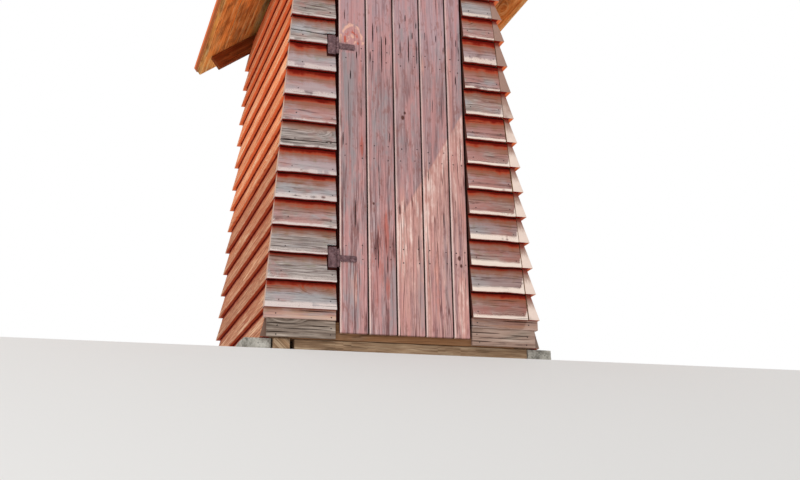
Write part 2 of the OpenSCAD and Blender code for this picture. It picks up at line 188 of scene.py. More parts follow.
class Paint(Wiring):
    # a material whose colour is laid on in layers, each with a colour of its look
    def __init__(self, name, look):
        self.material = bpy.data.materials.new(name)
        self.material.use_nodes = True
        self.material.node_tree.nodes.clear()
        self.look = hues(look)
        super().__init__(self.material.node_tree)

    def place(self):
        return self.parts(self.add("ShaderNodeTexCoord").outputs["Object"])

    def given(self, name, output="Fac"):
        return Num(self, self.add("ShaderNodeAttribute", attribute_name=name).outputs[output])

    def mix(self, amount, a, b, mode="MIX"):
        node = self.add("ShaderNodeMix", {0: amount, 6: a, 7: b}, data_type="RGBA", blend_type=mode)
        return node.outputs[2]

    def ramp(self, amount, stops, names):
        node = self.add("ShaderNodeValToRGB", {0: amount})
        marks = node.color_ramp.elements
        marks.new(0.5)
        for mark, stop, name in zip(marks, stops, names):
            mark.position = stop
            mark.color = self.look[name]
        return node.outputs[0]

    def lay(self, name, amount):
        self.colour = self.mix(amount, self.colour, self.look[name])

    def dim(self, value):
        self.colour = self.mix(1.0, self.colour, self.xyz(value, value, value), "MULTIPLY")

    def finish(self, height, bump, roughness, strength=0.75, specular=0.12, metallic=0.0):
        relief = self.out("ShaderNodeBump", {"Height": height, "Strength": strength, "Distance": bump})
        shader = self.out("ShaderNodeBsdfPrincipled", {
            "Base Color": self.colour, "Roughness": roughness, "Metallic": metallic,
            "Specular IOR Level": specular, "Normal": relief})
        self.add("ShaderNodeOutputMaterial", {0: shader})
        return self.material


# Wood. Every board carries these attributes: grain (metres along it, metres across it, its number), up (0 at
# its lower edge, 1 at the lap above, below 0 on its underside), tone (its own chance value) and, where it is
# cracked, slit
grainLook = {
    "fibre": 330.0,      # fine fibres per metre across
    "streak": 62.0, "check": 120.0, "veins": 34.0,
    "knotAlong": 2.6, "knotAcross": 7.5,
    "knots": 0.12,       # share of the cells that hold a knot
}
threeTones = ("dark", "middle", "light")


def woodPaint(name, look, **changes):
    p = Paint(name, look)
    grain = {**grainLook, **changes}
    along, p.across, p.number = p.parts(p.given("grain", "Vector"))
    p.tone, p.up, p.slit = (p.given(part) for part in ("tone", "up", "slit"))
    p.pick = p.chance(p.number * 2.17 + 0.3)
    u = along + p.number * 7.31
    v = p.across + p.number * 3.17
    # knots: chosen cells of a stretched cell pattern, with the fibres running round them
    cells = p.add("ShaderNodeTexVoronoi", {
        "Vector": p.xyz(u * grain["knotAlong"], v * grain["knotAcross"], p.number), "Scale": 1.0})
    away = Num(p, cells.outputs["Distance"])
    chosen = p.over(p.parts(cells.outputs["Color"])[0], 1 - grain["knots"])
    p.knot = (1 - p.ease(away, 0.03, 0.09)) * chosen
    bend = (1 - p.ease(away, 0.02, 0.42)) * chosen
    p.fine = p.noise(u * 9 + bend, v * grain["fibre"] + bend * 30, p.number, 2.0, 0.6)
    p.streak = p.noise(u * 2.4 + bend, v * grain["streak"] + bend * 9, p.number * 3, 4.0, 0.62, 0.25)
    p.broad = p.noise(u * 4, v * 10, p.number * 5, 2.0)
    p.blotch = p.noise(u * 15, v * 24, p.number * 7, 3.0, 0.6)
    p.check = p.ease(p.noise(u * 3 + bend, v * grain["check"] + bend * 14, p.number * 9, 1.0), 0.69, 0.73)
    # veins follow the level lines of a slow noise, as the grain's dark lines do
    slow = p.noise(u * 1.1 + bend, v * grain["veins"] + bend * 6, p.number * 11, 1.0)
    p.vein = 1 - p.ease(p.math("ABSOLUTE", slow - 0.5), 0.004, 0.030)
    p.u, p.v = u, v
    return p


def bareWood(p, fibres=0.38, names=threeTones):
    p.colour = p.ramp(p.streak * (1 - fibres) + p.fine * fibres, (0.34, 0.50, 0.66), names)
    p.dim(p.ease(p.fine, 0.25, 0.75, 0.84, 1.12))
    return p.colour


def finishWood(p, roughness=0.82):
    height = p.fine * 0.45 + p.streak * 0.5 + p.blotch * 0.15 - p.check * 0.9 - p.vein * 0.5
    return p.finish(height, 0.0009, roughness)


def frontPaint():
    p = woodPaint("wornFrontPaint", dict(
        dark="685a56", middle="a69892", light="ded2ca", pink="be847e", blue="b8bac0", green="96947e",
        brown="965c42", rust="b84626", red="821608", black="240602", lip="feeadc", shadyLip="e8d8d2",
        footLeft="deb89c", footRight="a6765a", knot="54362c", warm="964e36", vein="523630"))
    x, y, z = p.place()
    # painted sunlight: the lower courses, and more of them on the right, are lit paler
    sunlitPatch = 1 - p.ease(z - p.ease(x, -0.4, 0.4) * 0.7 + (p.broad - 0.5) * 0.3, 0.5, 0.9)
    bareWood(p, 0.45)
    pinkPatch = p.noise(p.u * 6, p.v * 9, p.number * 1.3, 3.0, 0.6)
    bluePatch = p.noise(p.u * 5, p.v * 14, p.number * 2.1 + 40, 3.0, 0.6)
    p.lay("pink", p.ease(pinkPatch + (p.tone - 0.5) * 0.4, 0.42, 0.64) * 0.75)
    p.lay("blue", p.ease(bluePatch + (p.pick - 0.5) * 0.4, 0.48, 0.64) * 0.5)
    p.lay("green", p.ease(p.blotch + p.up * 0.2, 0.64, 0.80) * 0.5)
    # painted sunlight: a warm tint over the lower courses towards the right
    p.lay("warm", p.ease(x + (p.broad - 0.5) * 0.5, 0.25, 0.60) * p.ease(z, 0.2, 1.6, 0.54, 0.16))
    p.lay("vein", p.vein * p.ease(p.blotch, 0.3, 0.65, 0.15, 0.7))
    p.lay("knot", p.knot * 0.8)
    # the narrow boards at the foot, behind the first lap, are bare
    foot = (1 - p.ease(z, 0.222, 0.232)) * p.over(y, -0.785)
    p.look["foot"] = p.mix(p.ease(x, -0.35, 0.35), p.look["footLeft"], p.look["footRight"])
    p.lay("foot", foot * p.ease(p.streak, 0.40, 0.62, 0.15, 0.72))
    # rain has washed the paint away, except in the shelter of the lap above; the red band and the black line
    # just under each lap are also painted shadow of the lap
    ragged = p.noise(p.u * 9, p.number * 3, 2.0, 3.0, 0.6)
    edge = p.up + (ragged - 0.5) * 0.42 + (p.streak - 0.5) * 0.34 + (p.blotch - 0.5) * 0.2
    edge = edge + (p.tone - 0.5) * 0.26
    p.lay("brown", p.ease(edge, 0.44, 0.80) * 0.82)
    p.lay("rust", p.ease(edge, 0.76, 0.90) * 0.85)
    p.lay("red", p.ease(edge, 0.86, 0.98))
    p.lay("red", p.ease(p.up, 0.80, 0.96) * 0.85)
    p.lay("black", p.ease(p.up + (p.blotch - 0.5) * 0.06, 0.93, 0.975))
    # a pale lower edge on each board: worn paint and painted sunlight, paler on the right and wider and
    # brighter in the painted sunlight; shadyLip is its colour on the less lit left
    broken = p.noise(p.u * 9, p.number, 0.0, 3.0, 0.6) + (p.streak - 0.5) * 0.4
    lipHigh = p.ease(p.pick + sunlitPatch * 0.35, 0.45, 1.15, 0.06, 0.24)
    lip = 1 - p.ease(p.up / lipHigh + (p.streak - 0.5) * 1.2 + (p.blotch - 0.5) * 0.5, 0.6, 1.1)
    lip = lip * p.ease(broken + sunlitPatch * 0.10, 0.40, 0.48) * (1 - foot * 0.8)
    p.look["ownLip"] = p.mix(p.ease(x, -0.3, 0.4), p.look["shadyLip"], p.look["lip"])
    p.lay("ownLip", lip * (0.75 + sunlitPatch * 0.2))
    # at the right corner a wedge of painted sunlight widens towards each lower edge
    fromEnd = hut.footHalf - z * hut.lean - x
    wedge = fromEnd - (1 - p.up * 1.5) * 0.036 + (p.streak - 0.5) * 0.03 + (p.tone - 0.5) * 0.03
    wedge = (1 - p.ease(wedge, -0.005, 0.005)) * sunlitPatch * p.over(x, 0.3) * (1 - foot * 0.8)
    p.lay("lip", wedge * 0.85)
    p.lay("black", p.check * 0.7)
    p.lay("black", p.ease(p.slit, 0.1, 0.6))
    # undersides of the lips: dark red, sheltered paint and painted shade
    p.lay("red", 1 - p.ease(p.up, -0.24, -0.03))
    return finishWood(p)


def sidePaint(name, underDark, underside):
    p = woodPaint(name, dict(
        dark="de5c2e", middle="ff9c64", light="ffce9e", lowDark="92543a", lowMiddle="ce8864",
        lowLight="f0be96", worn="fed4ae", shade="ba3c16", red="8a1402", black="2c0602", knot="8c3c1e",
        vein="aa4624", glow="fa844e", under=underside))
    height = p.place()[2]
    fresh = bareWood(p)
    faded = bareWood(p, names=("lowDark", "lowMiddle", "lowLight"))
    fade = p.ease(height + (p.broad - 0.5) * 0.7 + (p.tone - 0.5) * 0.5, 0.30, 1.60)
    p.colour = p.mix(fade, faded, fresh)
    p.lay("worn", p.ease(p.streak + (p.broad - 0.5) * 0.4 + (p.tone - 0.5) * 0.14, 0.50, 0.72) * 0.75)
    p.dim(p.ease(p.tone * 0.7 + p.pick * 0.3, 0.1, 0.9, 0.84, 1.10))
    p.lay("vein", p.vein * p.ease(p.blotch, 0.3, 0.65, 0.1, 0.6))
    p.lay("knot", p.knot * 0.7)
    # under each lap: painted shade, then a red band of sheltered paint that is also painted shadow, and a
    # black line of painted shadow
    edge = p.up + (p.blotch - 0.5) * 0.16 + (p.streak - 0.5) * 0.22
    p.lay("shade", p.ease(edge, 0.72, 0.92) * 0.6)
    p.lay("red", p.ease(edge, 0.88, 0.98))
    p.lay("black", p.ease(p.up, 0.955, 0.99))
    # a pale line along each lower edge: painted highlight, with some wear
    rim = (1 - p.ease(p.math("ABSOLUTE", p.up + 0.04), 0.03, 0.09)) * p.ease(p.blotch, 0.35, 0.5)
    p.lay("worn", rim * 0.6)
    p.lay("red", p.check * 0.6)
    # undersides: a painted orange glow on their outer part, painted shade where the glow fades, and dark
    # painted shade on their inner part, deep under the lap
    glowing = p.ease(fade + (p.blotch - 0.5) * 0.8, 0.35, 0.85)
    p.lay("glow", (1 - p.ease(p.up, -0.06, -0.03)) * (0.25 + glowing * 0.75))
    p.lay("shade", (1 - p.ease(p.up, -0.06, -0.03)) * (1 - glowing) * 0.7)
    p.lay("under", (1 - p.ease(p.up + (p.blotch - 0.5) * 0.14, -0.44, -0.30)) * underDark)
    return finishWood(p)


# Marks on the door's face, in metres: the peeled knot over the upper hinge, the grey run below its strap,
# and small knots by x, z and radius
peel = {"x": -0.276, "z": 1.668, "radius": 0.070, "width": 0.010}
greyRun = {"x": -0.296, "z": 1.61, "half": 0.041, "long": 0.46}
doorKnots = [(0.002, 1.270, 0.012), (0.014, 1.298, 0.008), (0.296, 0.520, 0.012), (0.305, 0.480, 0.009),
             (-0.164, 0.780, 0.007)]


def doorPaint():
    p = woodPaint("wornDoorPaint", dict(
        dark="705456", middle="ac8a8a", light="dabebc", pink="ce928e", grey="9c9294", red="ba5c4a",
        salmon="daa092", cream="f8ded4", edge="f6d6cc", joint="2c0e12", black="221012", peel="f0bca6",
        shadedTop="ae8d8f", lilac="ccacb4", ember="c8583c", knot="542c24", brown="8c5448", vein="683a38",
    ), streak=70.0, fibre=300.0, knotAlong=1.4, knotAcross=6.0, knots=0.06, veins=30.0)
    x, y, z = p.place()
    redMark, greyMark, paleMark = p.parts(p.given("marks", "Vector"))
    soft = p.noise(p.u * 2.2, p.v * 26, p.number * 4, 4.0, 0.6)
    scuff = p.noise(p.u * 13, p.v * 30, p.number * 6, 3.0, 0.65)
    # the upper door is muted and turns towards lilac as painted shade; the lower door is warmer as painted
    # sunlight
    shadedTop = p.ease(z + (p.broad - 0.5) * 0.6, 0.65, 1.25)
    bareWood(p, 0.45)
    p.lay("shadedTop", shadedTop * 0.42)
    p.lay("lilac", p.ease(z + (p.broad - 0.5) * 0.4, 1.45, 1.85) * 0.4)
    p.lay("pink", p.ease(soft + (p.tone - 0.5) * 0.1, 0.46, 0.62) * 0.6)
    p.lay("grey", p.ease(scuff + (p.streak - 0.5) * 0.4, 0.52, 0.70) * 0.5)
    p.lay("brown", p.ease(scuff + (soft - 0.5) * 0.5, 0.34, 0.46, 0.45, 0.0))
    for name, mark, wide, rough, low, high, amount in (
        ("grey", greyMark, 1.3, 0.9, 0.30, 0.80, 0.7), ("red", redMark, 1.4, 0.9, 0.34, 0.90, 0.75),
        ("salmon", paleMark, 1.1, 0.8, 0.25, 0.80, 0.7), ("cream", paleMark, 1.4, 0.9, 0.66, 1.05, 0.8),
    ):
        p.lay(name, p.ease(mark + (p.streak - 0.5) * wide + (scuff - 0.5) * rough, low, high) * amount)
    # painted sunlight: the lower door is brighter
    p.dim(p.ease(z + (p.broad - 0.5) * 0.3, 0.5, 1.0, 1.12, 1.0))
    p.lay("vein", p.vein * p.ease(scuff, 0.3, 0.6, 0.25, 0.8) * (1 - shadedTop * 0.5))
    p.lay("knot", p.knot * 0.8)
    # the peeled knot: rings of bare wood and red, only above the strap
    ring = p.far((x - peel["x"]) * 1.15, (z - peel["z"]) * 0.72)
    ring = ring + (p.noise(x * 30, z * 30, 3.0, 3.0) - 0.5) * 0.030
    nearBy = p.ease(z + (p.blotch - 0.5) * 0.03, peel["z"] - 0.015, peel["z"])
    p.lay("pink", (1 - p.ease(ring, peel["radius"] - 0.01, peel["radius"] + 0.004)) * nearBy * 0.5)
    for part, hue in ((1.0, "peel"), (0.62, "ember"), (0.34, "peel")):
        arc = 1 - p.ease(p.math("ABSOLUTE", ring - peel["radius"] * part), 0.002, peel["width"])
        arc = arc * nearBy * p.ease(p.noise(x * 55, z * 40, part * 9, 2.0), 0.36, 0.52)
        p.lay(hue, arc * 0.9)
    side = p.math("ABSOLUTE", x - greyRun["x"] + (p.streak - 0.5) * 0.03)
    stain = 1 - p.ease(side, greyRun["half"] * 0.7, greyRun["half"])
    stain = stain * (1 - p.ease(z, greyRun["z"] - 0.01, greyRun["z"]))
    stain = stain * p.ease(z + (soft - 0.5) * 0.2, greyRun["z"] - greyRun["long"], greyRun["z"] - 0.15)
    p.lay("grey", stain * p.ease(p.streak, 0.35, 0.6, 0.25, 0.75))
    for knotX, knotZ, radius in doorKnots:
        p.lay("knot", (1 - p.ease(p.far(x - knotX, (z - knotZ) * 0.7), radius * 0.5, radius)) * 0.9)
    # a pale strip on each plank's left edge: rubbed paint and painted highlight, fainter in the painted shade
    # at the top
    rubbedAndLitEdge = 1 - p.ease(p.across + (p.blotch - 0.5) * 0.008, 0.004, 0.009)
    p.lay("edge", rubbedAndLitEdge * (0.85 - shadedTop * 0.35))
    p.lay("black", p.check * 0.75)
    p.lay("black", p.ease(p.slit, 0.05, 0.5) * 0.95)
    p.lay("joint", p.ease(p.up, 0.970, 0.988))
    p.lay("joint", 1 - p.ease(p.across, -0.0035, -0.0015))
    return finishWood(p)


def plainWood(name, codes, patches=0.0):
    # the codes are the dark, middle and light tones, the knots and cracks, and a tint
    p = woodPaint(name, dict(zip((*threeTones, "knot", "tint"), codes.split())), streak=48.0)
    bareWood(p)
    p.lay("tint", p.ease(p.broad + (p.tone - 0.5) * 0.4, 0.45, 0.7) * 0.6)
    if patches:
        p.lay("knot", p.ease(p.noise(p.u * 4, p.v * 9, p.number * 2, 4.0, 0.6), 0.50, 0.66) * patches)
        # a pale band along each board's lower edge: painted light, as through the gap between boards
        p.lay("light", (1 - p.ease(p.up, 0.02, 0.05)) * p.over(p.up, 0.0) * patches * 0.6)
        p.lay("knot", (1 - p.over(p.up, 0.0)) * patches * 0.7)
    p.dim(p.ease(p.tone * 0.5 + p.broad, 0.40, 1.05, 0.72, 1.18))
    p.lay("knot", p.ease(p.slit, 0.05, 0.5) * 0.9)
    p.lay("knot", p.knot * 0.8)
    p.lay("knot", p.check * 0.7)
    p.lay("knot", p.vein * p.ease(p.blotch, 0.3, 0.65, 0.1, 0.55))
    return finishWood(p, 0.85)


def endWood():
    # sawn ends: yearly rings about the heart, fine rays and drying checks
    p = woodPaint("sawnEnds", dict(
        pale="dcbeac", ring="c49882", grey="b09c98", red="96341e", sunlitEnd="fce6d8", damp="5c4034",
        weathered="9e7c70", jamb="541e16"))
    x, y, z = p.place()
    rings = p.add("ShaderNodeTexWave", {
        "Vector": p.xyz((x + y) * 1.0, p.up * 0.14, 0.0), "Scale": 60.0, "Distortion": 3.0, "Detail": 2.0,
        "Detail Scale": 1.5}, wave_type="BANDS", bands_direction="X")
    rays = p.noise((x + y) * 260, z * 30, p.number, 3.0, 0.7)
    patch = p.noise(x * 30 + y * 30, z * 22, p.number * 4, 3.0)
    p.colour = p.mix(Num(p, rings.outputs["Fac"]) * 0.55, p.look["pale"], p.look["ring"])
    p.lay("ring", p.ease(rays, 0.5, 0.72) * 0.5)
    p.lay("grey", p.ease(patch, 0.5, 0.7) * 0.6)
    # weathered at the front right corner, with painted sunlight on the lower ends there; a painted shadow of
    # the lap across the top of each end; painted shade on the ends beside the door gap; damp at the ground
    atCorner = (1 - p.ease(y, -0.70, -0.60)) * p.over(x, 0.45)
    sunlitPatch = 1 - p.ease(z + (patch - 0.5) * 0.3, 1.15, 1.50)
    sunlitPatch = sunlitPatch * (1 - p.ease(p.up + (rays - 0.5) * 0.5, 0.35, 0.75))
    p.lay("weathered", atCorner * 0.8)
    p.lay("sunlitEnd", atCorner * sunlitPatch * 0.9)
    p.lay("red", p.ease(p.up + (patch - 0.5) * 0.3, 0.72, 0.92) * 0.8)
    byDoor = (1 - p.ease(p.math("ABSOLUTE", x), 0.40, 0.42)) * (1 - p.over(z, hut.doorTop))
    p.lay("jamb", byDoor * 0.9)
    p.lay("damp", (1 - p.ease(z + (patch - 0.5) * 0.1, 0.15, 0.23)) * 0.8)
    return finishWood(p, 0.9)


def mottled(name, codes, scale, roughness, bump, metallic=0.0):
    # stone and iron: mottled in object space, with no grain; a fourth colour makes flecks
    p = Paint(name, dict(zip((*threeTones, "flecks"), codes.split())))
    x, y, z = (part * scale for part in p.place())
    height = p.noise(x, y, z, 5.0, 0.62) * 0.6 + p.noise(x * 7, y * 7, z * 7, 3.0, 0.7) * 0.4
    p.colour = p.ramp(height, (0.36, 0.5, 0.64), threeTones)
    if "flecks" in p.look:
        p.lay("flecks", p.ease(p.noise(x * 4, y * 4, z * 4 + 9.0, 4.0, 0.7), 0.56, 0.64) * 0.8)
    return p.finish(height, bump, roughness, 0.8, 0.3, metallic)


frontBoardPaint = frontPaint()
sideBoardPaint = sidePaint("sunSidePaint", 1.0, "8a1402")
roofCoverPaint = sidePaint("sunRoofPaint", 0.8, "a45a2e")
doorPlankPaint = doorPaint()
sawnEnds = endWood()
# the roof boards' wood is made light and golden: painted light, bounced up from the ground onto the underside
roofWood = plainWood("sunBrownedRoofWood", "c87032 ffba66 ffecb0 7a3818 ffac50", 0.5)
# the rafters' wood is darker than the frame's: painted shade under the roof
rafterWood = plainWood("darkRafterWood", "542610 8a4620 b8703e 36160a 7c3818")
frameWood = plainWood("agedFrameWood", "7a583c ac845e c8a47c 543624 967458")
# door posts and hinge blocks: dark red paint, darker still as painted shade of the gap beside the door
jambPaintAndShade = plainWood("darkRedJambPaint", "220a08 3e140e 60281e 140808 300e0a")
skirtWood = plainWood("greySkirtWood", "605046 a29082 d6c6b8 3e2e28 a48274")
# one base wood in two copies: darker for the sills as painted shade, lighter for the ground timber and the
# block as painted sunlight
baseWood = plainWood("dampBaseWood", "563e2c 84664e a88a6e 32221a 966842")
groundWood = plainWood("sunBleachedGroundTimber", "7c6048 b89676 e0c6a6 422e24 c4946a")
paleStone = mottled("paleStone", "78746c aca89e d0ccc2 606058", 14.0, 0.9, 0.004)
rustyIron = mottled("rustyHingeIron", "422c30 6e5256 98787a 683428", 60.0, 0.66, 0.0006, 0.15)
nailIron = mottled("nailIron", "261e1e 3a3030 54423c", 120.0, 0.6, 0.0003, 0.3)
print("materials made")


# Making pieces

def addObject(name, data):
    obj = bpy.data.objects.new(name, data)
    scene.collection.objects.link(obj)
    return obj


def bake(obj):
    # the evaluated shape as a plain mesh; the object it came from goes
    graph = bpy.context.evaluated_depsgraph_get()
    mesh = bpy.data.meshes.new_from_object(obj.evaluated_get(graph), preserve_all_data_layers=True,
                                           depsgraph=graph)
    bpy.data.objects.remove(obj)
    return mesh


def grow(name, tree, values, start=None):
    host = addObject(name + "Host", start or bpy.data.meshes.new(name + "Start"))
    modifier = host.modifiers.new("grow", "NODES")
    modifier.node_group = tree
    for item in tree.interface.items_tree:
        if item.in_out == "INPUT" and values[item.name] is not None:
            modifier[item.identifier] = values[item.name]
    return bake(host)


def soften(mesh, width, angle=38):
    host = addObject("softenHost", mesh)
    bevel = host.modifiers.new("bevel", "BEVEL")
    bevel.width = width
    bevel.segments = 2
    bevel.limit_method = "ANGLE"
    bevel.angle_limit = math.radians(angle)
    bevel.harden_normals = False
    return bake(host)


def opened(*meshes):
    bm = bmesh.new()
    for mesh in meshes:
        bm.from_mesh(mesh)
    return bm


def closed(bm, target, woods=()):
    # writes a bmesh to a mesh, or to a new one of that name, and frees it
    mesh = bpy.data.meshes.new(target) if isinstance(target, str) else target
    bm.to_mesh(mesh)
    bm.free()
    for wood in woods:
        mesh.materials.append(wood)
    return mesh


def carve(mesh, boxes):
    # cuts boxes, each given by its lowest and highest corner, out of a mesh
    cutter = bmesh.new()
    for low, high in boxes:
        low, high = Vector(low), Vector(high)
        place = Matrix.Translation((low + high) / 2) @ Matrix.Diagonal((*(high - low), 1))
        bmesh.ops.create_cube(cutter, size=1, matrix=place)
    tool = addObject("cutterHost", closed(cutter, "cutter"))
    host = addObject("carveHost", mesh)
    boolean = host.modifiers.new("carve", "BOOLEAN")
    boolean.operation = "DIFFERENCE"
    boolean.solver = "EXACT"
    boolean.object = tool
    carved = bake(host)
    bpy.data.objects.remove(tool)
    return carved


def solids(bm):
    # the separate solids of a mesh, each as a list of faces
    seen, groups = set(), []
    for start in bm.faces:
        if start in seen:
            continue
        seen.add(start)
        group, queue = [], [start]
        while queue:
            face = queue.pop()
            group.append(face)
            for other in (other for edge in face.edges for other in edge.link_faces):
                if other not in seen:
                    seen.add(other)
                    queue.append(other)
        groups.append(group)
    return groups


def carveBoards(mesh, boxes):
    # the boards touch, so each one that a box meets is cut by itself and joined again
    boards = [mesh]
    for low, high in boxes:
        whole = opened(mesh)
        met = []
        for group in solids(whole):
            points = [v.co for face in group for v in face.verts]
            least, most = ([pick(p[i] for p in points) for i in range(3)] for pick in (min, max))
            if any(least[i] >= high[i] or most[i] <= low[i] for i in range(3)):
                continue
            only = whole.copy()
            kept = {face.index for face in group}
            others = [face for i, face in enumerate(only.faces) if i not in kept]
            bmesh.ops.delete(only, geom=others, context="FACES")
            boards.append(carve(closed(only, "board", mesh.materials), [(low, high)]))
            met += group
        bmesh.ops.delete(whole, geom=met, context="FACES")
        closed(whole, mesh)
    return closed(opened(*boards), mesh.name, mesh.materials)


def turned(mesh, degrees):
    mesh.transform(Matrix.Rotation(math.radians(degrees), 4, "Z"))
    return mesh


def piece(name, mesh, body, slotName, *nodes, sharp=32):
    mesh.shade_smooth()
    mesh.set_sharp_from_angle(angle=math.radians(sharp))
    mesh.name = name
    obj = addObject(name, mesh)
    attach(obj, body)
    if nodes:
        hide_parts(*nodes)
    return obj


def writeCorners(mesh, name, values):
    # an attribute of every face corner, from numbers or from rows of three
    values = np.asarray(values, np.float32)
    kind, key = ("FLOAT_VECTOR", "vector") if values.ndim == 2 else ("FLOAT", "value")
    mesh.attributes.new(name, kind, "CORNER").data.foreach_set(key, values.ravel())


def writeWood(mesh, *values):
    # metres along and across the grain, the board's number, up and tone, as arrays or single numbers
    along, across, number, up, tone = (np.broadcast_to(value, len(mesh.loops)) for value in values)
    writeCorners(mesh, "grain", np.stack((along, across, number), axis=1))
    writeCorners(mesh, "up", up)
    writeCorners(mesh, "tone", tone)


def ownTone(number):
    return (np.sin(number * 12.9898) * 43758.5453) % 1.0


# Lapped boards. One grid box is set once for each course and bent to its place by the shape.

def newTree(name, values):
    # a tree with one input for each value, of the value's own kind, and what its nodes read from them
    kinds = {int: "Int", float: "Float", bpy.types.Material: "Material", type(None): "Geometry"}
    tree = bpy.data.node_groups.new(name, "GeometryNodeTree")
    tree.interface.new_socket("Geometry", in_out="OUTPUT", socket_type="NodeSocketGeometry")
    for label, value in values.items():
        tree.interface.new_socket(label, in_out="INPUT", socket_type="NodeSocket" + kinds[type(value)])
    w = Wiring(tree)
    given = w.add("NodeGroupInput").outputs
    return w, SimpleNamespace(**{label: Num(w, given[label]) for label in values})


def courseTree(name, values, cells, shape, longAxis):
    w, size = newTree(name, values)
    cube = w.out("GeometryNodeMeshCube", {
        "Size": (1.0, 1.0, 1.0), "Vertices X": cells[0], "Vertices Y": cells[1], "Vertices Z": cells[2]})
    spot = w.out("GeometryNodeInputPosition")
    corner = w.out("ShaderNodeVectorMath", {0: spot, 1: (0.5, 0.5, 0.5)}, operation="ADD")
    box = w.store(cube, "cell", corner, "FLOAT_VECTOR", "POINT")
    rows = w.out("GeometryNodePoints", {"Count": size.courses})
    rows = w.store(rows, "course", w.out("GeometryNodeInputIndex"), "FLOAT", "POINT")
    boards = w.out("GeometryNodeInstanceOnPoints", {"Points": rows, "Instance": box})
    boards = w.out("GeometryNodeRealizeInstances", {"Geometry": boards})
    cell = w.parts(w.named("cell", "FLOAT_VECTOR"))
    course = Num(w, w.named("course", "FLOAT"))
    place, along, v, out = shape(w, size, course, cell)
    boards = w.out("GeometryNodeSetPosition", {"Geometry": boards, "Position": w.xyz(*place)})
    number = course + size.seed
    grain = w.xyz(along, v * size.courseHigh - out * 0.02 + course * 0.31, number)
    boards = w.store(boards, "grain", grain, "FLOAT_VECTOR")
    under = 1 - w.over(w.onFaces(v), 0.001)
    boards = w.store(boards, "up", w.lerp(v, out - 1, under))
    boards = w.store(boards, "tone", w.chance(number * 1.37))
    boards = w.out("GeometryNodeRealizeInstances", {"Geometry": boards})
    boards = w.out("GeometryNodeSetMaterial", {"Geometry": boards, "Material": size.faceWood})
    inner = 1 - w.over(w.onFaces(out), 0.001)
    atEnd = w.over(w.math("ABSOLUTE", cell[longAxis] - 0.5), 0.4999)
    for selection, wood in ((inner, size.innerWood), (atEnd, size.endWood)):
        inputs = {"Geometry": boards, "Selection": selection, "Material": wood}
        boards = w.out("GeometryNodeSetMaterial", inputs)
    w.add("NodeGroupOutput", {0: boards})
    return w.tree


# The courses drift upwards under the eaves, as boards laid by eye do
courseDrift = {"from": 1.25, "most": 1.80, "high": 0.036}


def climb(w, z):
    back = 1 - w.ease(z, courseDrift["most"], hut.doorTop)
    return z + w.ease(z, courseDrift["from"], courseDrift["most"], 0.0, courseDrift["high"]) * back


def climbed(z):
    # the same drift for a plain number
    def ease(low, high):
        t = max(0.0, min(1.0, (z - low) / (high - low)))
        return t * t * (3 - 2 * t)
    back = 1 - ease(courseDrift["most"], hut.doorTop)
    return z + ease(courseDrift["from"], courseDrift["most"]) * courseDrift["high"] * back


def lapWave(w, along, course, v, size):
    # both edges of a course wander a little; neighbours share their edge, so no gap opens
    edges = []
    for joint in (course, course + 1):
        slow = w.noise(along * 3.5, joint * 7.3 + size.seed, 1.0, 1.0) - 0.5
        quick = w.noise(along * 28, joint * 3.1 + size.seed, 5.0, 2.0) - 0.5
        inside = w.over(joint, 0.5) * w.over(size.courses - 0.5, joint)
        edges.append((slow * 2.0 + quick * 0.7) * size.wave * inside)
    return w.lerp(*edges, v)


def bulge(w, along, across, course, size, out):
    # outer faces are uneven
    slow = w.noise(along * 4, across * 14, (course + size.seed) * 5.7, 2.0) - 0.5
    return slow * size.uneven * w.over(out, 0.7)


def frontShape(w, size, course, cell):
    along, out, v = cell[0], 1 - cell[1], cell[2]
    wave = lapWave(w, along * size.footHalf, course, v, size)
    z = climb(w, size.firstHeight + (course + v) * size.courseHigh + wave)
    z = w.least(z, size.ridge - size.roofGap * 2)
    top = climb(w, size.firstHeight + (course + 1) * size.courseHigh)
    jitter = w.chance(course * 2.7 + size.seed) * size.endJitter
    underRoof = w.most((size.ridge - z) / size.slope - size.roofGap, 0.004)
    # the left ends run over the side boards' ends, the right ends stop behind the side boards
    over = size.footHalf - z * size.lean + size.boardThick * (1.92 - v * 0.2) - jitter * 0.5
    behind = size.footHalf - top * size.lean - size.endGap - jitter
    left = w.lerp(size.leftEnd, 0 - w.least(over, underRoof), size.leftToCorner)
    right = w.lerp(size.rightEnd, w.least(behind, underRoof), size.rightToCorner)
    x = w.lerp(left, right, along)
    y = size.faceY - out * (size.boardThick * (2 - v) - size.uneven * 0.5) - bulge(w, x, z, course, size, out)
    return (x, y, z), x, v, out


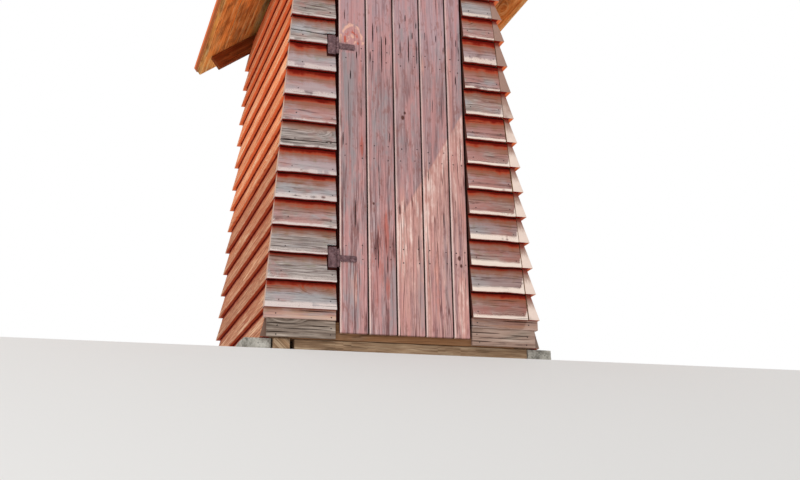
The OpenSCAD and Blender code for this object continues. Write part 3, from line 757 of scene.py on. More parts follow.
def sideShape(w, size, course, cell):
    out, along, v = cell
    step = w.math("ROUND", along * size.steps)
    inner = w.most((step - 2) / (size.steps - 2), 0.0)
    bodyY = w.lerp(0 - size.bodyHalf, size.bodyHalf, inner)
    # the front ends turn in beside the post and run over the front boards' ends
    front = 2 - w.least(step, 2.0)
    reach = size.boardThick * (1.94 - v) * w.over(course + 0.5, size.firstOver)
    jitter = w.chance(course * 3.3 + size.seed) * size.endJitter
    nudge = 0.001
    y = bodyY - w.over(front, 0.5) * nudge - w.over(front, 1.5) * w.most(reach - jitter - nudge, 0.0)
    wave = lapWave(w, y, course, v, size)
    isLast = w.over(course, size.courses - 1.5)
    z = climb(w, size.firstHeight + (course + v) * size.courseHigh + wave)
    z = z + isLast * v * size.courseHigh * 0.35
    frameX = size.footHalf - z * size.lean
    topX = size.footHalf - climb(w, size.firstHeight + (course + 1) * size.courseHigh) * size.lean
    innerX = w.lerp(frameX + 0.0002, topX + nudge, w.over(front, 0.5))
    outerX = frameX + size.boardThick * (2 - v) - size.uneven * 0.5
    x = w.lerp(innerX, outerX, out) + bulge(w, y, z, course, size, out)
    z = w.least(z, size.ridge - x * size.slope - size.roofGap)
    return (x, y, z), y, v, out


def roofShape(w, size, course, cell):
    # out is the height over the roof boards' tops; courses count from the eave up
    out, along, v = cell[2], cell[1], 1 - cell[0]
    front, back = (w.chance(course * step + size.seed) * size.endJitter for step in (3.3, 5.9))
    y = w.lerp(0 - size.endReach + front, size.endReach - back, along)
    low = size.eaveReach - course * size.courseHigh
    isFirst = 1 - w.over(course, 0.5)
    ragged = (w.noise(y * 2.2, size.seed, 0.0, 3.0) * size.edgeJitter) * isFirst * (1 - v)
    s = low - v * size.courseHigh - lapWave(w, y, course, v, size) - size.boardGap * (0.5 - v) - ragged
    upper = w.lerp(size.lowLift, size.topLift, v)
    n = w.lerp(size.lowSide, upper - size.uneven * 0.5, out) + bulge(w, y, s, course, size, out)
    s = w.most(s, 0 - n * (size.sine / size.cosine) + 0.0008)
    x = s * size.cosine + n * size.sine
    z = size.ridge - s * size.sine + n * size.cosine
    return (x, y, z), y, v, out


# What every lapped wall is given, then what the front and back, and the sides, have of their own
wallBoards = {
    "courses": 1, "firstHeight": hut.lowCourse, "courseHigh": hut.courseHigh, "boardThick": hut.boardThick,
    "footHalf": hut.footHalf, "lean": hut.lean, "ridge": hut.ridge, "slope": hut.slope, "roofGap": 0.0025,
    "wave": 0.0042,          # how far a lower edge wanders
    "uneven": 0.0022, "endJitter": 0.005, "seed": 0.0,
    "faceWood": frontBoardPaint, "endWood": sawnEnds, "innerWood": frameWood,
}
frontBoards = {
    **wallBoards, "leftEnd": 0.0, "rightEnd": 0.0, "leftToCorner": 1.0, "rightToCorner": 1.0,
    "endGap": 0.0012, "faceY": hut.frontY,
}
sideBoards = {
    **wallBoards, "courses": 16, "bodyHalf": -hut.frontY - 0.0005, "firstOver": 0.0, "steps": 60.0,
    "endJitter": 0.006, "faceWood": sideBoardPaint,
}
wallBevel = 0.0020
stripTree = courseTree("frontStripCourses", frontBoards, (22, 3, 9), frontShape, 0)
wideTree = courseTree("wideCourses", frontBoards, (64, 3, 9), frontShape, 0)
sideTree = courseTree("sideCourses", sideBoards, (3, 61, 9), sideShape, 1)

doorCourses = round((hut.doorTop - hut.firstCourse) / hut.courseHigh)
gableCourses = math.ceil((hut.ridge - hut.doorTop) / hut.courseHigh)

# The boards are cut away round the wood blocks under the hinges
hingeNotch = {"high": 0.126, "margin": 0.004, "front": -0.9, "behind": 0.02}
# A board's face is cracked open along each line, given by x and z at both ends
splits = {
    "wide": 0.0080, "deep": 0.014, "reach": 0.06,
    "lines": [((-0.64, 1.697), (-0.36, 1.687)), ((-0.66, 1.077), (-0.36, 1.086))],
}


def hingeNotches():
    low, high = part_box("hinge_blocks")
    tall, margin = hingeNotch["high"], hingeNotch["margin"]
    return [((low.x - margin, hingeNotch["front"], bottom - margin),
             (0.0, hut.frontY + hingeNotch["behind"], bottom + tall + margin))
            for bottom in (low.z, high.z - tall)]


def openSplit(mesh, ends):
    (x0, z0), (x1, z1) = ends
    middle = Vector(((x0 + x1) / 2, 0, (z0 + z1) / 2))
    across = Vector((z0 - z1, 0, x1 - x0)).normalized()
    bm = opened(mesh)
    for offset in (-splits["wide"] / 2, splits["wide"] / 2, 0.0):
        for group in solids(bm):
            heights = [v.co.z for face in group for v in face.verts]
            if min(heights) < middle.z < max(heights):
                edges = {edge for face in group for edge in face.edges}
                verts = {vert for face in group for vert in face.verts}
                bmesh.ops.bisect_plane(bm, geom=[*verts, *edges, *group], plane_co=middle + across * offset,
                                       plane_no=across, dist=0.00001)
                break
    slit = bm.verts.layers.float.get("slit") or bm.verts.layers.float.new("slit")
    for vert in bm.verts:
        away = vert.co - middle
        isFace = vert.co.y < hut.frontY - hut.boardThick * 1.1
        if isFace and abs(away.dot(across)) < 0.0001 and abs(away.z) < splits["reach"]:
            vert.co.y += splits["deep"]
            vert[slit] = 1.0
    return closed(bm, mesh)


def layBoards(name, tree, values, angle, bevel, slotName, node):
    mesh = turned(grow(name, tree, values), angle)
    return piece(name, soften(mesh, bevel), "hut", slotName, node)


# Left and right strips beside the door, then the gable, the back and the sides
besideDoor = {**frontBoards, "courses": doorCourses, "firstHeight": hut.firstCourse}
rightStrip = {**besideDoor, "seed": 3.0, "leftEnd": hut.rightGap, "leftToCorner": 0.0}
leftStrip = {**besideDoor, "seed": 21.0, "rightEnd": hut.leftGap, "rightToCorner": 0.0}
layBoards("frontBoardsRight", stripTree, rightStrip, 0, wallBevel, "front_boards", "front_wall_right")
leftBoards = soften(carveBoards(grow("leftStrip", stripTree, leftStrip), hingeNotches()), wallBevel)
for line in splits["lines"]:
    leftBoards = openSplit(leftBoards, line)
piece("frontBoardsLeft", leftBoards, "hut", "front_boards", "front_wall_left")
for name, node, angle, seed, first, courses, paint, slotName in (
    ("frontGableBoards", "front_gable", 0, 41.0, hut.doorTop, gableCourses, frontBoardPaint, "front_boards"),
    ("backBoards", "back_wall", 180, 61.0, hut.lowCourse, doorCourses + 1, sideBoardPaint, "side_boards"),
    ("backGableBoards", "back_gable", 180, 83.0, hut.doorTop, gableCourses, sideBoardPaint, "side_boards"),
):
    values = {**frontBoards, "seed": seed, "firstHeight": first, "courses": courses, "faceWood": paint}
    layBoards(name, wideTree, values, angle, wallBevel, slotName, node)
for side, angle, seed, firstOver in (("right", 0, 101.0, 1.0), ("left", 180, 131.0, 0.0)):
    values = {**sideBoards, "seed": seed, "firstOver": firstOver}
    layBoards(side + "WallBoards", sideTree, values, angle, wallBevel, "side_boards", side + "_wall")
print("wall boards laid:", doorCourses, "courses beside the door,", sideBoards["courses"], "on the sides")

# Roof boards that show from below, then the lapped covering over them
roofBoards = {
    "courses": 7, "courseHigh": slopeLong / 7, "eaveReach": slopeLong - 0.002, "lowLift": 0.0,
    "lowSide": -0.025, "topLift": 0.0, "ridge": span("right_roof_boards", 2)[1], "sine": hut.sine,
    "cosine": hut.cosine, "endReach": hut.roofEnd - 0.001, "boardGap": 0.003, "wave": 0.0016,
    "uneven": 0.0010, "endJitter": 0.012, "edgeJitter": 0.010, "seed": 151.0,
    "faceWood": roofWood, "endWood": roofWood, "innerWood": roofWood,
}
roofCover = {
    **roofBoards, "courses": round(slopeLong / 0.145), "courseHigh": 0.145, "eaveReach": slopeLong,
    "lowLift": 0.036, "lowSide": 0.0, "topLift": 0.018, "boardGap": 0.0, "wave": 0.0036, "uneven": 0.0016,
    "edgeJitter": 0.004, "seed": 171.0, "faceWood": roofCoverPaint, "endWood": sawnEnds,
}
roofTree = courseTree("roofCourses", roofBoards, (7, 56, 3), roofShape, 1)
for side, angle, shift in (("right", 0, 0.0), ("left", 180, 13.0)):
    for name, values, bevel, slotName, node in (
        ("RoofBoards", roofBoards, 0.0015, "roof_wood", "_roof_boards"),
        ("RoofCovering", roofCover, 0.0018, "side_boards", "_roofing"),
    ):
        values = {**values, "seed": values["seed"] + shift}
        layBoards(side + name, roofTree, values, angle, bevel, slotName, side + node)
print("roof laid")


def looseBoards(mesh, seed, wood, grain=None):
    # marks every separate solid of a mesh as a board of its own, with the grain along its longest edge
    bm = opened(mesh)
    along, across, number = (np.zeros(len(mesh.loops)) for part in range(3))
    ones = Vector((1, 1, 1))
    for count, group in enumerate(solids(bm)):
        longest = max((edge for face in group for edge in face.edges), key=lambda e: e.calc_length())
        grainway = longest.verts[1].co - longest.verts[0].co
        if grain:
            grainway = Vector([float(axis == grain) for axis in "xyz"])
        grainway = grainway.normalized() * (-1 if grainway.dot(ones) < 0 else 1)
        for face in group:
            side = face.normal.cross(grainway)
            side = side.normalized() if side.length > 0.3 else grainway.orthogonal().normalized()
            side = side * (-1 if side.dot(ones) < 0 else 1)
            for loop in face.loops:
                along[loop.index] = loop.vert.co.dot(grainway)
                across[loop.index] = loop.vert.co.dot(side)
                number[loop.index] = seed + count
    bm.free()
    writeWood(mesh, along, across, number, 0.4, ownTone(number))
    mesh.materials.clear()
    mesh.materials.append(wood)
    return mesh


def cleanCopy(*nodes):
    # copies of nodes as one mesh: loose triangles merged, flat faces joined
    copies = []
    for node in nodes:
        bm = opened(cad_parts[node].data)
        bmesh.ops.remove_doubles(bm, verts=bm.verts, dist=0.00002)
        bmesh.ops.dissolve_limit(bm, angle_limit=math.radians(0.6), verts=bm.verts, edges=bm.edges)
        copies.append(closed(bm, node))
    return closed(opened(*copies), nodes[0])


def everything(bm):
    return [*bm.verts, *bm.edges, *bm.faces]


def roughen(mesh, spacing, amount, seed):
    # cuts long timbers into short lengths and lets their faces wander a little, always inwards
    bm = opened(mesh)
    low, high = ([pick(v.co[axis] for v in bm.verts) for axis in range(3)] for pick in (min, max))
    for axis in range(3):
        cuts = int((high[axis] - low[axis]) / spacing)
        normal = Vector([float(i == axis) for i in range(3)])
        for cut in range(1, cuts):
            point = normal * (low[axis] + (high[axis] - low[axis]) * cut / cuts)
            bmesh.ops.bisect_plane(bm, geom=everything(bm), plane_co=point, plane_no=normal, dist=0.0005)
    bm.normal_update()
    for vert in bm.verts:
        drift = noise.noise(vert.co * 9 + Vector((seed, seed, seed))) * 0.5 + 0.5
        vert.co -= vert.normal * drift * amount
    return closed(bm, mesh)


def timber(name, slotName, wood, seed, *nodes, grain=None, bevel=0.003, spacing=0.09, amount=0.0016):
    mesh = soften(roughen(cleanCopy(*nodes), spacing, amount, seed), bevel, 50)
    piece(name, looseBoards(mesh, seed, wood, grain), "hut", slotName, *nodes)


# Ridge cap: two boards that meet over the ridge
ridgeCap = {"gap": 0.0006, "spacing": 0.12, "rough": 0.0016, "bevel": 0.0022}


def layCap():
    halves = []
    for side in (-1, 1):
        bm = opened(cleanCopy("ridge_cap"))
        cut = bmesh.ops.bisect_plane(bm, geom=everything(bm), plane_co=(side * ridgeCap["gap"], 0, 0),
                                     plane_no=(side, 0, 0), clear_inner=True)
        rim = [edge for edge in cut["geom_cut"] if isinstance(edge, bmesh.types.BMEdge)]
        bmesh.ops.contextual_create(bm, geom=rim)
        halves.append(roughen(closed(bm, "capHalf"), ridgeCap["spacing"], ridgeCap["rough"], 5 + side))
    mesh = soften(closed(opened(*halves), "ridgeCap"), ridgeCap["bevel"], 40)
    piece("ridgeCapBoards", looseBoards(mesh, 263, sideBoardPaint, "y"), "hut", "roof_wood", "ridge_cap")


layCap()
timber("ridgeBoard", "frame_wood", frameWood, 200, "ridge_board")
timber("frontRafterPair", "frame_wood", rafterWood, 205, "front_rafters")
timber("middleRafterPair", "frame_wood", rafterWood, 209, "middle_rafters")
timber("backRafterPair", "frame_wood", rafterWood, 213, "back_rafters")
timber("cornerPosts", "frame_wood", frameWood, 217, "front_posts", "back_posts", grain="z")
timber("wallStuds", "frame_wood", frameWood, 225, "side_studs", "back_stud", grain="z")
timber("doorPosts", "frame_wood", jambPaintAndShade, 231, "door_posts", grain="z")
timber("headBeams", "frame_wood", frameWood, 235, "door_head", "back_beam", grain="x")
timber("sidePlates", "frame_wood", frameWood, 239, "side_plates", grain="y")
timber("sillTimbers", "base_timber", baseWood, 243, "side_sills", grain="y")
timber("crossSills", "base_timber", baseWood, 247, "front_sill", "back_sill", "floor_joist", grain="x")
timber("groundTimber", "base_timber", groundWood, 253, "ground_timber", grain="x", spacing=0.04, amount=0.004)
timber("sillBlock", "base_timber", groundWood, 257, "sill_block", grain="y", spacing=0.03, amount=0.003)
timber("hingeBlocks", "base_timber", jambPaintAndShade, 259, "hinge_blocks", grain="z", spacing=0.05, amount=0.001,
       bevel=0.0015)
print("timbers dressed")

# Floor boards, parted by saw-wide gaps
floorBoards = {"wide": 0.118, "gap": 0.003, "least": 0.03, "bevel": 0.0015}


def layFloor():
    low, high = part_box("floor")
    slots = []
    x = low.x + floorBoards["wide"]
    while x < high.x - floorBoards["least"]:
        slots.append(((x, low.y - 0.1, low.z - 0.1), (x + floorBoards["gap"], high.y + 0.1, high.z + 0.1)))
        x += floorBoards["wide"] + floorBoards["gap"]
    mesh = soften(carve(cleanCopy("floor"), slots), floorBoards["bevel"], 50)
    piece("floorBoards", looseBoards(mesh, 300, frameWood, "y"), "hut", "frame_wood", "floor")


layFloor()

# Stones: worn field stones, flat on top where the sills rest
cornerStones = {
    "long": 0.255, "wide": 0.140, "cells": 9, "round": 0.32, "puff": 1.25,
    "rough": 0.010, "chips": 16, "pits": 50, "pitShare": 0.4,    # chips and pits by noise of these scales
}


def layStones():
    low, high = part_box("foundation_stones")
    half = Vector((cornerStones["wide"] / 2, cornerStones["long"] / 2, (high.z - low.z) / 2))
    spots = [(sx * (high.x - half.x), sy * (high.y - half.y)) for sx in (-1, 1) for sy in (-1, 1)]
    stones = []
    for number, (cx, cy) in enumerate(spots):
        stone = bmesh.new()
        bmesh.ops.create_cube(stone, size=2)
        bmesh.ops.subdivide_edges(stone, edges=stone.edges, cuts=cornerStones["cells"], use_grid_fill=True)
        for vert in stone.verts:
            outwards = vert.co.normalized()
            roundness = cornerStones["round"] * (1 - 0.5 * abs(vert.co.z))
            shaped = vert.co.lerp(outwards * cornerStones["puff"], roundness)
            shaped = Vector([max(-1.0, min(1.0, c)) for c in shaped])
            place = shaped * half
            chip = noise.noise(place * cornerStones["chips"] + Vector((number * 9, 3, 1)))
            pit = noise.noise(place * cornerStones["pits"] + Vector((number * 5, 7, 2)))
            worn = abs(chip + pit * cornerStones["pitShare"]) * cornerStones["rough"]
            flat = 1 - max(0.0, shaped.z) ** 3 * 0.9
            vert.co = place - outwards * (worn * flat) + Vector((cx, cy, (low.z + high.z) / 2))
        stones.append(closed(stone, "stone"))
    mesh = closed(opened(*stones), "cornerStones", [paleStone])
    piece("cornerStones", mesh, "hut", "stone", "foundation_stones", sharp=60)


layStones()


# Upright and level boards with cracks, made as a front sheet, a back sheet and a rim
fullSlit = 0.011         # a crack this deep is black at its bottom


def steps(length, edge, spacing):
    # places along a length, closer together at its rounded ends
    inside = length - edge - edge
    count = max(1, round(inside / spacing))
    between = [edge + inside * i / count for i in range(count + 1)]
    return [0.0, edge * 0.3, *between, length - edge * 0.3, length]


def cornerVerts(mesh):
    corner = np.zeros(len(mesh.loops), np.int32)
    mesh.loops.foreach_get("vertex_index", corner)
    return corner


def crackedBoard(name, wide, long, thick, cracks, look, seed, number, wood, place, upOver=1.0):
    # a across the board and l along it; each crack has its place across, its middle along and its length
    edge = look["round"]
    lines = steps(wide, edge, look["acrossSpacing"])
    for at, middle, crackLong in cracks:
        lines += [at - look["crackWide"] / 2, at, at + look["crackWide"] / 2]
    lines = sorted(set(lines))
    rows = sorted(steps(long, edge, look["rowSpacing"]))
    front, back = [], []
    for a in lines:
        for l in rows:
            near = min(a - lines[0], lines[-1] - a, l - rows[0], rows[-1] - l)
            drop = 0.0 if near >= edge else edge - math.sqrt(max(0.0, edge ** 2 - (edge - near) ** 2))
            crack = 0.0
            for at, middle, crackLong in cracks:
                away = abs(l - middle) / (crackLong / 2)
                if abs(a - at) < 1e-6 and away < 1:
                    crack = crack or look["crackDeep"] * math.sqrt(1 - away)
            wander = (noise.noise(Vector((a * 20, l * 3, seed))) * 0.5 + 0.5) * look["relief"]
            front.append((a, l, min(max(drop, wander * 0.5) + crack, thick * 0.8), crack / fullSlit))
            back.append((a, l, thick - drop, 0.0))
    n, m = len(lines), len(rows)
    under = n * m
    faces = []
    for i in range(n - 1):
        for j in range(m - 1):
            p = i * m + j
            faces.append((p, p + m, p + m + 1, p + 1))
            faces.append((under + p, under + p + 1, under + p + m + 1, under + p + m))
    rim = [i * m for i in range(n)] + [(n - 1) * m + j for j in range(1, m)]
    rim += [i * m + m - 1 for i in range(n - 2, -1, -1)] + [j for j in range(m - 2, 0, -1)]
    faces += [(here, under + here, under + there, there) for here, there in zip(rim, rim[1:] + rim[:1])]
    mesh = bpy.data.meshes.new(name)
    mesh.from_pydata([place(*v[:3]) for v in front + back], [], faces)
    bm = opened(mesh)
    bmesh.ops.recalc_face_normals(bm, faces=bm.faces)
    closed(bm, mesh, [wood])
    local = np.array(front + back)[cornerVerts(mesh)]
    across, along, depth, slit = local.T
    writeWood(mesh, along, across - depth * 0.3, number, across / (wide * upOver), ownTone(number))
    writeCorners(mesh, "slit", slit)
    return mesh


# Door planks. Cracks: metres from the plank's left edge and up from the door's bottom, and length.
doorPlanks = {
    "rowSpacing": 0.011, "acrossSpacing": 0.012, "round": 0.0035, "relief": 0.0016, "crackWide": 0.0076,
    "crackDeep": 0.011, "leftShrink": 0.0015, "rightShrink": 0.0030,
    "cracks": [
        [(0.118, 1.20, 0.10), (0.120, 0.43, 0.06), (0.082, 0.62, 0.16), (0.030, 1.72, 0.05),
         (0.096, 1.50, 0.04), (0.062, 1.38, 0.05), (0.020, 1.02, 0.07)],
        [(0.0355, 1.64, 0.12), (0.084, 1.52, 0.22), (0.1275, 1.685, 0.05), (0.1275, 1.555, 0.06),
         (0.060, 0.80, 0.19), (0.122, 1.05, 0.05), (0.050, 0.42, 0.18), (0.108, 1.60, 0.05),
         (0.020, 1.50, 0.06), (0.058, 1.66, 0.04), (0.100, 0.36, 0.10)],
        [(0.070, 1.75, 0.04), (0.039, 1.70, 0.03), (0.039, 1.575, 0.07), (0.0855, 1.57, 0.17),
         (0.130, 1.715, 0.03), (0.130, 1.555, 0.14), (0.054, 1.157, 0.07), (0.058, 1.00, 0.07),
         (0.118, 0.455, 0.15), (0.020, 0.66, 0.06), (0.108, 1.65, 0.04)],
        [(0.128, 1.69, 0.03), (0.093, 1.655, 0.04), (0.133, 1.59, 0.03), (0.066, 1.48, 0.15),
         (0.064, 1.255, 0.07), (0.070, 0.43, 0.14), (0.030, 1.66, 0.05), (0.030, 0.86, 0.06),
         (0.110, 0.62, 0.08)],
        [(0.030, 1.69, 0.04), (0.074, 1.68, 0.04), (0.058, 1.64, 0.04), (0.033, 1.57, 0.06),
         (0.072, 1.60, 0.03), (0.050, 1.42, 0.05), (0.064, 1.02, 0.14), (0.028, 0.70, 0.08)],
    ],
}
# Patches of the door's paint: middle x and z, half width and half height, strength
doorPatches = {
    "red": [(-0.230, 1.30, 0.022, 0.42, 0.45), (-0.222, 1.09, 0.010, 0.07, 0.9),
            (-0.110, 0.52, 0.055, 0.28, 0.50), (-0.098, 0.62, 0.020, 0.15, 0.72),
            (-0.095, 0.34, 0.016, 0.08, 0.70), (-0.165, 0.34, 0.030, 0.26, 0.5),
            (0.170, 0.40, 0.022, 0.24, 0.55), (0.315, 0.74, 0.030, 0.12, 0.5),
            (0.150, 1.62, 0.030, 0.20, 0.35)],
    "grey": [(-0.300, 1.08, 0.040, 0.50, 0.62), (-0.280, 0.30, 0.060, 0.22, 0.55),
             (-0.125, 1.28, 0.070, 0.30, 0.45), (-0.065, 0.30, 0.022, 0.22, 0.7),
             (0.086, 0.42, 0.026, 0.34, 0.9), (0.230, 0.50, 0.028, 0.40, 0.7),
             (0.335, 1.50, 0.016, 0.42, 0.6), (0.030, 1.72, 0.060, 0.20, 0.35)],
    "pale": [(0.272, 1.40, 0.016, 0.60, 0.5), (0.020, 1.42, 0.050, 0.26, 0.25),
             (-0.262, 0.33, 0.006, 0.12, 0.9), (-0.010, 0.60, 0.034, 0.28, 0.80),
             (0.010, 0.24, 0.040, 0.24, 0.6), (0.128, 0.55, 0.010, 0.60, 0.9),
             (0.310, 0.26, 0.034, 0.24, 0.75), (0.118, 1.58, 0.008, 0.10, 0.8),
             (-0.300, 0.34, 0.030, 0.07, 0.35)],
}

# Painted sunlight: a paler stretch that fills the door's lower right, below the slanting edge of a shadow
# through x and z
sunlitStretch = {
    "x": -0.045, "z": 0.70, "rise": 1.69, "soft": 0.03, "fade": 0.6, "left": -0.06, "strength": 0.74,
}


def patchedPaint(x, z):
    strengths = []
    for patches in doorPatches.values():
        value = np.zeros(len(x))
        for middle, height, halfWide, halfHigh, strength in patches:
            away = np.hypot((x - middle) / halfWide, (z - height) / halfHigh)
            # full to 0.6 of its size, gone at 1.35
            value = np.maximum(value, strength * np.clip((1.35 - away) / 0.75, 0, 1))
        strengths.append(value)
    below = sunlitStretch["z"] + sunlitStretch["rise"] * (x - sunlitStretch["x"]) - z
    slanting = np.clip(below / sunlitStretch["soft"], 0, 1)
    slanting = slanting * np.clip(1.05 - below * sunlitStretch["fade"], 0.60, 1)
    inside = np.clip((x - sunlitStretch["left"]) / 0.02, 0, 1)
    strengths[2] = np.maximum(strengths[2], sunlitStretch["strength"] * slanting * inside)
    return np.stack(strengths, axis=1)


def hangDoor():
    for i, cracks in enumerate(doorPlanks["cracks"], 1):
        node = "door_plank_%d" % i
        low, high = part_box(node)
        low.x += doorPlanks["leftShrink"]
        high.x -= doorPlanks["rightShrink"]
        mesh = crackedBoard(node, high.x - low.x, high.z - low.z, high.y - low.y, cracks, doorPlanks, i * 3.7,
                            400 + i, doorPlankPaint, lambda a, l, d: (low.x + a, low.y + d, low.z + l))
        points = np.array([v.co for v in mesh.vertices])[cornerVerts(mesh)]
        writeCorners(mesh, "marks", patchedPaint(points[:, 0], points[:, 2]))
        piece("doorPlank%d" % i, mesh, "door", "door_planks", node)


hangDoor()

# Ledges behind the planks
ledgeLook = {"spacing": 0.06, "rough": 0.0012, "bevel": 0.003}
ledges = roughen(cleanCopy("door_ledges"), ledgeLook["spacing"], ledgeLook["rough"], 5)
ledges = looseBoards(soften(ledges, ledgeLook["bevel"], 50), 420, frameWood, "x")
piece("doorLedges", ledges, "door", "door_planks", "door_ledges")
print("door hung")

# Skirt and narrow boards at the foot of the front. Cracks: height, middle along the board, length.
footBoards = {
    "acrossSpacing": 0.012, "rowSpacing": 0.012, "round": 0.003, "relief": 0.002, "crackWide": 0.006,
    "crackDeep": 0.009, "lift": 0.011,
    "skirtCracks": [(0.066, 0.06, 0.20), (0.040, 0.18, 0.30), (0.022, 0.04, 0.14), (0.058, 0.27, 0.10)],
    "narrowCracks": [(0.040, 0.26, 0.20)],
    "narrowBare": 1.22,    # how far past its top edge its paint would be sheltered
}


def footBoard(name, node, cracks, seeds, wood, upOver=1.0):
    low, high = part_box(node)
    boards = []
    for x0, x1, seed in ((low.x, hut.leftGap, seeds[0]), (hut.rightGap, high.x, seeds[1])):
        boards.append(crackedBoard(
            name, high.z - low.z, x1 - x0, high.y - low.y, cracks, footBoards, seed, seed, wood,
            lambda a, l, d: (x0 + l, low.y + d, low.z + footBoards["lift"] + a), upOver))
    piece(name, closed(opened(*boards), name, [wood]), "hut", "skirt_wood", node)


footBoard("skirtBoards", "skirt_boards", footBoards["skirtCracks"], (440, 443), skirtWood)
footBoard("narrowBoards", "narrow_boards", footBoards["narrowCracks"], (446, 449), frontBoardPaint,
          footBoards["narrowBare"])

# Hinges: on the jamb a tall leaf with two knuckles and the pin, on the door a short strap with one
hinges = {
    "knuckle": 0.007, "leafThick": 0.004, "pin": 0.003, "bore": 0.00308, "chamfer": 0.0008, "gap": 0.0005,
    "corner": 0.005, "strapCorner": 0.008, "sharp": 0.0006, "inset": 0.003, "strapBehind": 0.0001,
    "footShort": 0.006,      # how much shorter the leaf is at its foot
    "edgeDeep": 0.0008, "edgeIn": 0.0007,
    "screw": 0.0050, "screwHigh": 0.0015, "slot": 0.0013, "screwBase": 0.45, "halfDisc": 0.96, "sunk": 0.001,
    "headHigh": 0.003, "headEdge": 0.0012, "headWide": 1.6, "headTop": 0.4,
    "knuckleHigh": 0.028, "strapHigh": 0.032, "leafInner": -0.0085,
    # across from the pin and up from the hinge's middle
    "leafScrews": [(-0.040, 0.046), (-0.021, 0.024), (-0.040, -0.022), (-0.021, -0.046)],
    "strapScrews": [(0.026, 0.005), (0.052, -0.006), (0.084, 0.003)],
    # how the first slot is turned, and how much further each next one
    "leafTurns": (0.6, 1.9), "strapTurns": (1.1, 1.3),
}


def skin(bm, rings, tube=False):
    # quads between neighbouring rings of points, with both ends filled unless the rings make a tube
    rings = [[bm.verts.new(point) for point in ring] for ring in rings]
    for here, there in zip(rings, rings[1:] + (rings[:1] if tube else [])):
        for i in range(len(here)):
            k = (i + 1) % len(here)
            bm.faces.new((here[i], here[k], there[k], there[i]))
    if not tube:
        bm.faces.new(rings[0])
        bm.faces.new(rings[-1])


def arc(x, z, radius, start, sweep, count):
    angles = [start + sweep * i / (count - 1) for i in range(count)]
    return [(x + radius * math.cos(angle), z + radius * math.sin(angle)) for angle in angles]


def revolve(bm, profile, tube=False, segments=28):
    # radius and height pairs turned round the pin's axis
    full = arc(0, 0, 1, 0, 2 * math.pi, segments + 1)[:-1]
    skin(bm, [[(r * x, r * y, z) for x, y in full] for r, z in profile], tube)


def extrude(bm, outline, y0, y1):
    # a flat outline of x and z given a thickness; its front edge is broken a little
    points = [Vector((x, 0, z)) for x, z in outline]
    middle = sum(points, Vector()) / len(points)
    rings = []
    for y, inset in ((y1, 0.0), (y0 + hinges["edgeDeep"], 0.0), (y0, hinges["edgeIn"])):
        moved = [point + (middle - point).normalized() * inset for point in points]
        rings.append([(point.x, y, point.z) for point in moved])
    skin(bm, rings)


def roundedPlate(x0, x1, z0, z1, leftRadius, rightRadius):
    quarter = math.pi / 2
    corners = ((x1, z1, rightRadius), (x0, z1, leftRadius), (x0, z0, leftRadius), (x1, z0, rightRadius))
    outline = []
    for turn, (x, z, r) in enumerate(corners):
        cx = x - r if x == x1 else x + r
        cz = z - r if z == z1 else z + r
        outline += arc(cx, cz, r, quarter * turn, quarter, 6)
    return outline


def screwHead(bm, x, z, frontY, turn):
    # a low round base and two half discs with the slot between them
    radius, high = hinges["screw"], hinges["screwHigh"]
    base = arc(x, z, radius, 0, 2 * math.pi, 19)[:-1]
    extrude(bm, base, frontY - high * hinges["screwBase"], frontY + hinges["sunk"])
    start = math.asin(hinges["slot"] / 2 / radius)
    for flip in (0, math.pi):
        half = arc(x, z, radius * hinges["halfDisc"], start + flip + turn, math.pi - 2 * start, 11)
        extrude(bm, half, frontY - high, frontY + hinges["sunk"] / 2)


def barrel(bm, z0, z1, bore=None):
    r, c = hinges["knuckle"], hinges["chamfer"]
    outside = [(r - c, z0), (r, z0 + c), (r, z1 - c), (r - c, z1)]
    revolve(bm, outside + ([(bore, z1), (bore, z0)] if bore else []), bool(bore))


def screws(bm, places, turns, frontY):
    for number, (x, z) in enumerate(places):
        screwHead(bm, x, z, frontY, turns[0] + number * turns[1])


def ironPiece(name, bm, place, body, node):
    bmesh.ops.recalc_face_normals(bm, faces=bm.faces)
    bmesh.ops.translate(bm, verts=bm.verts, vec=place)
    piece(name, closed(bm, name, [rustyIron]), body, "hinge_iron", node)


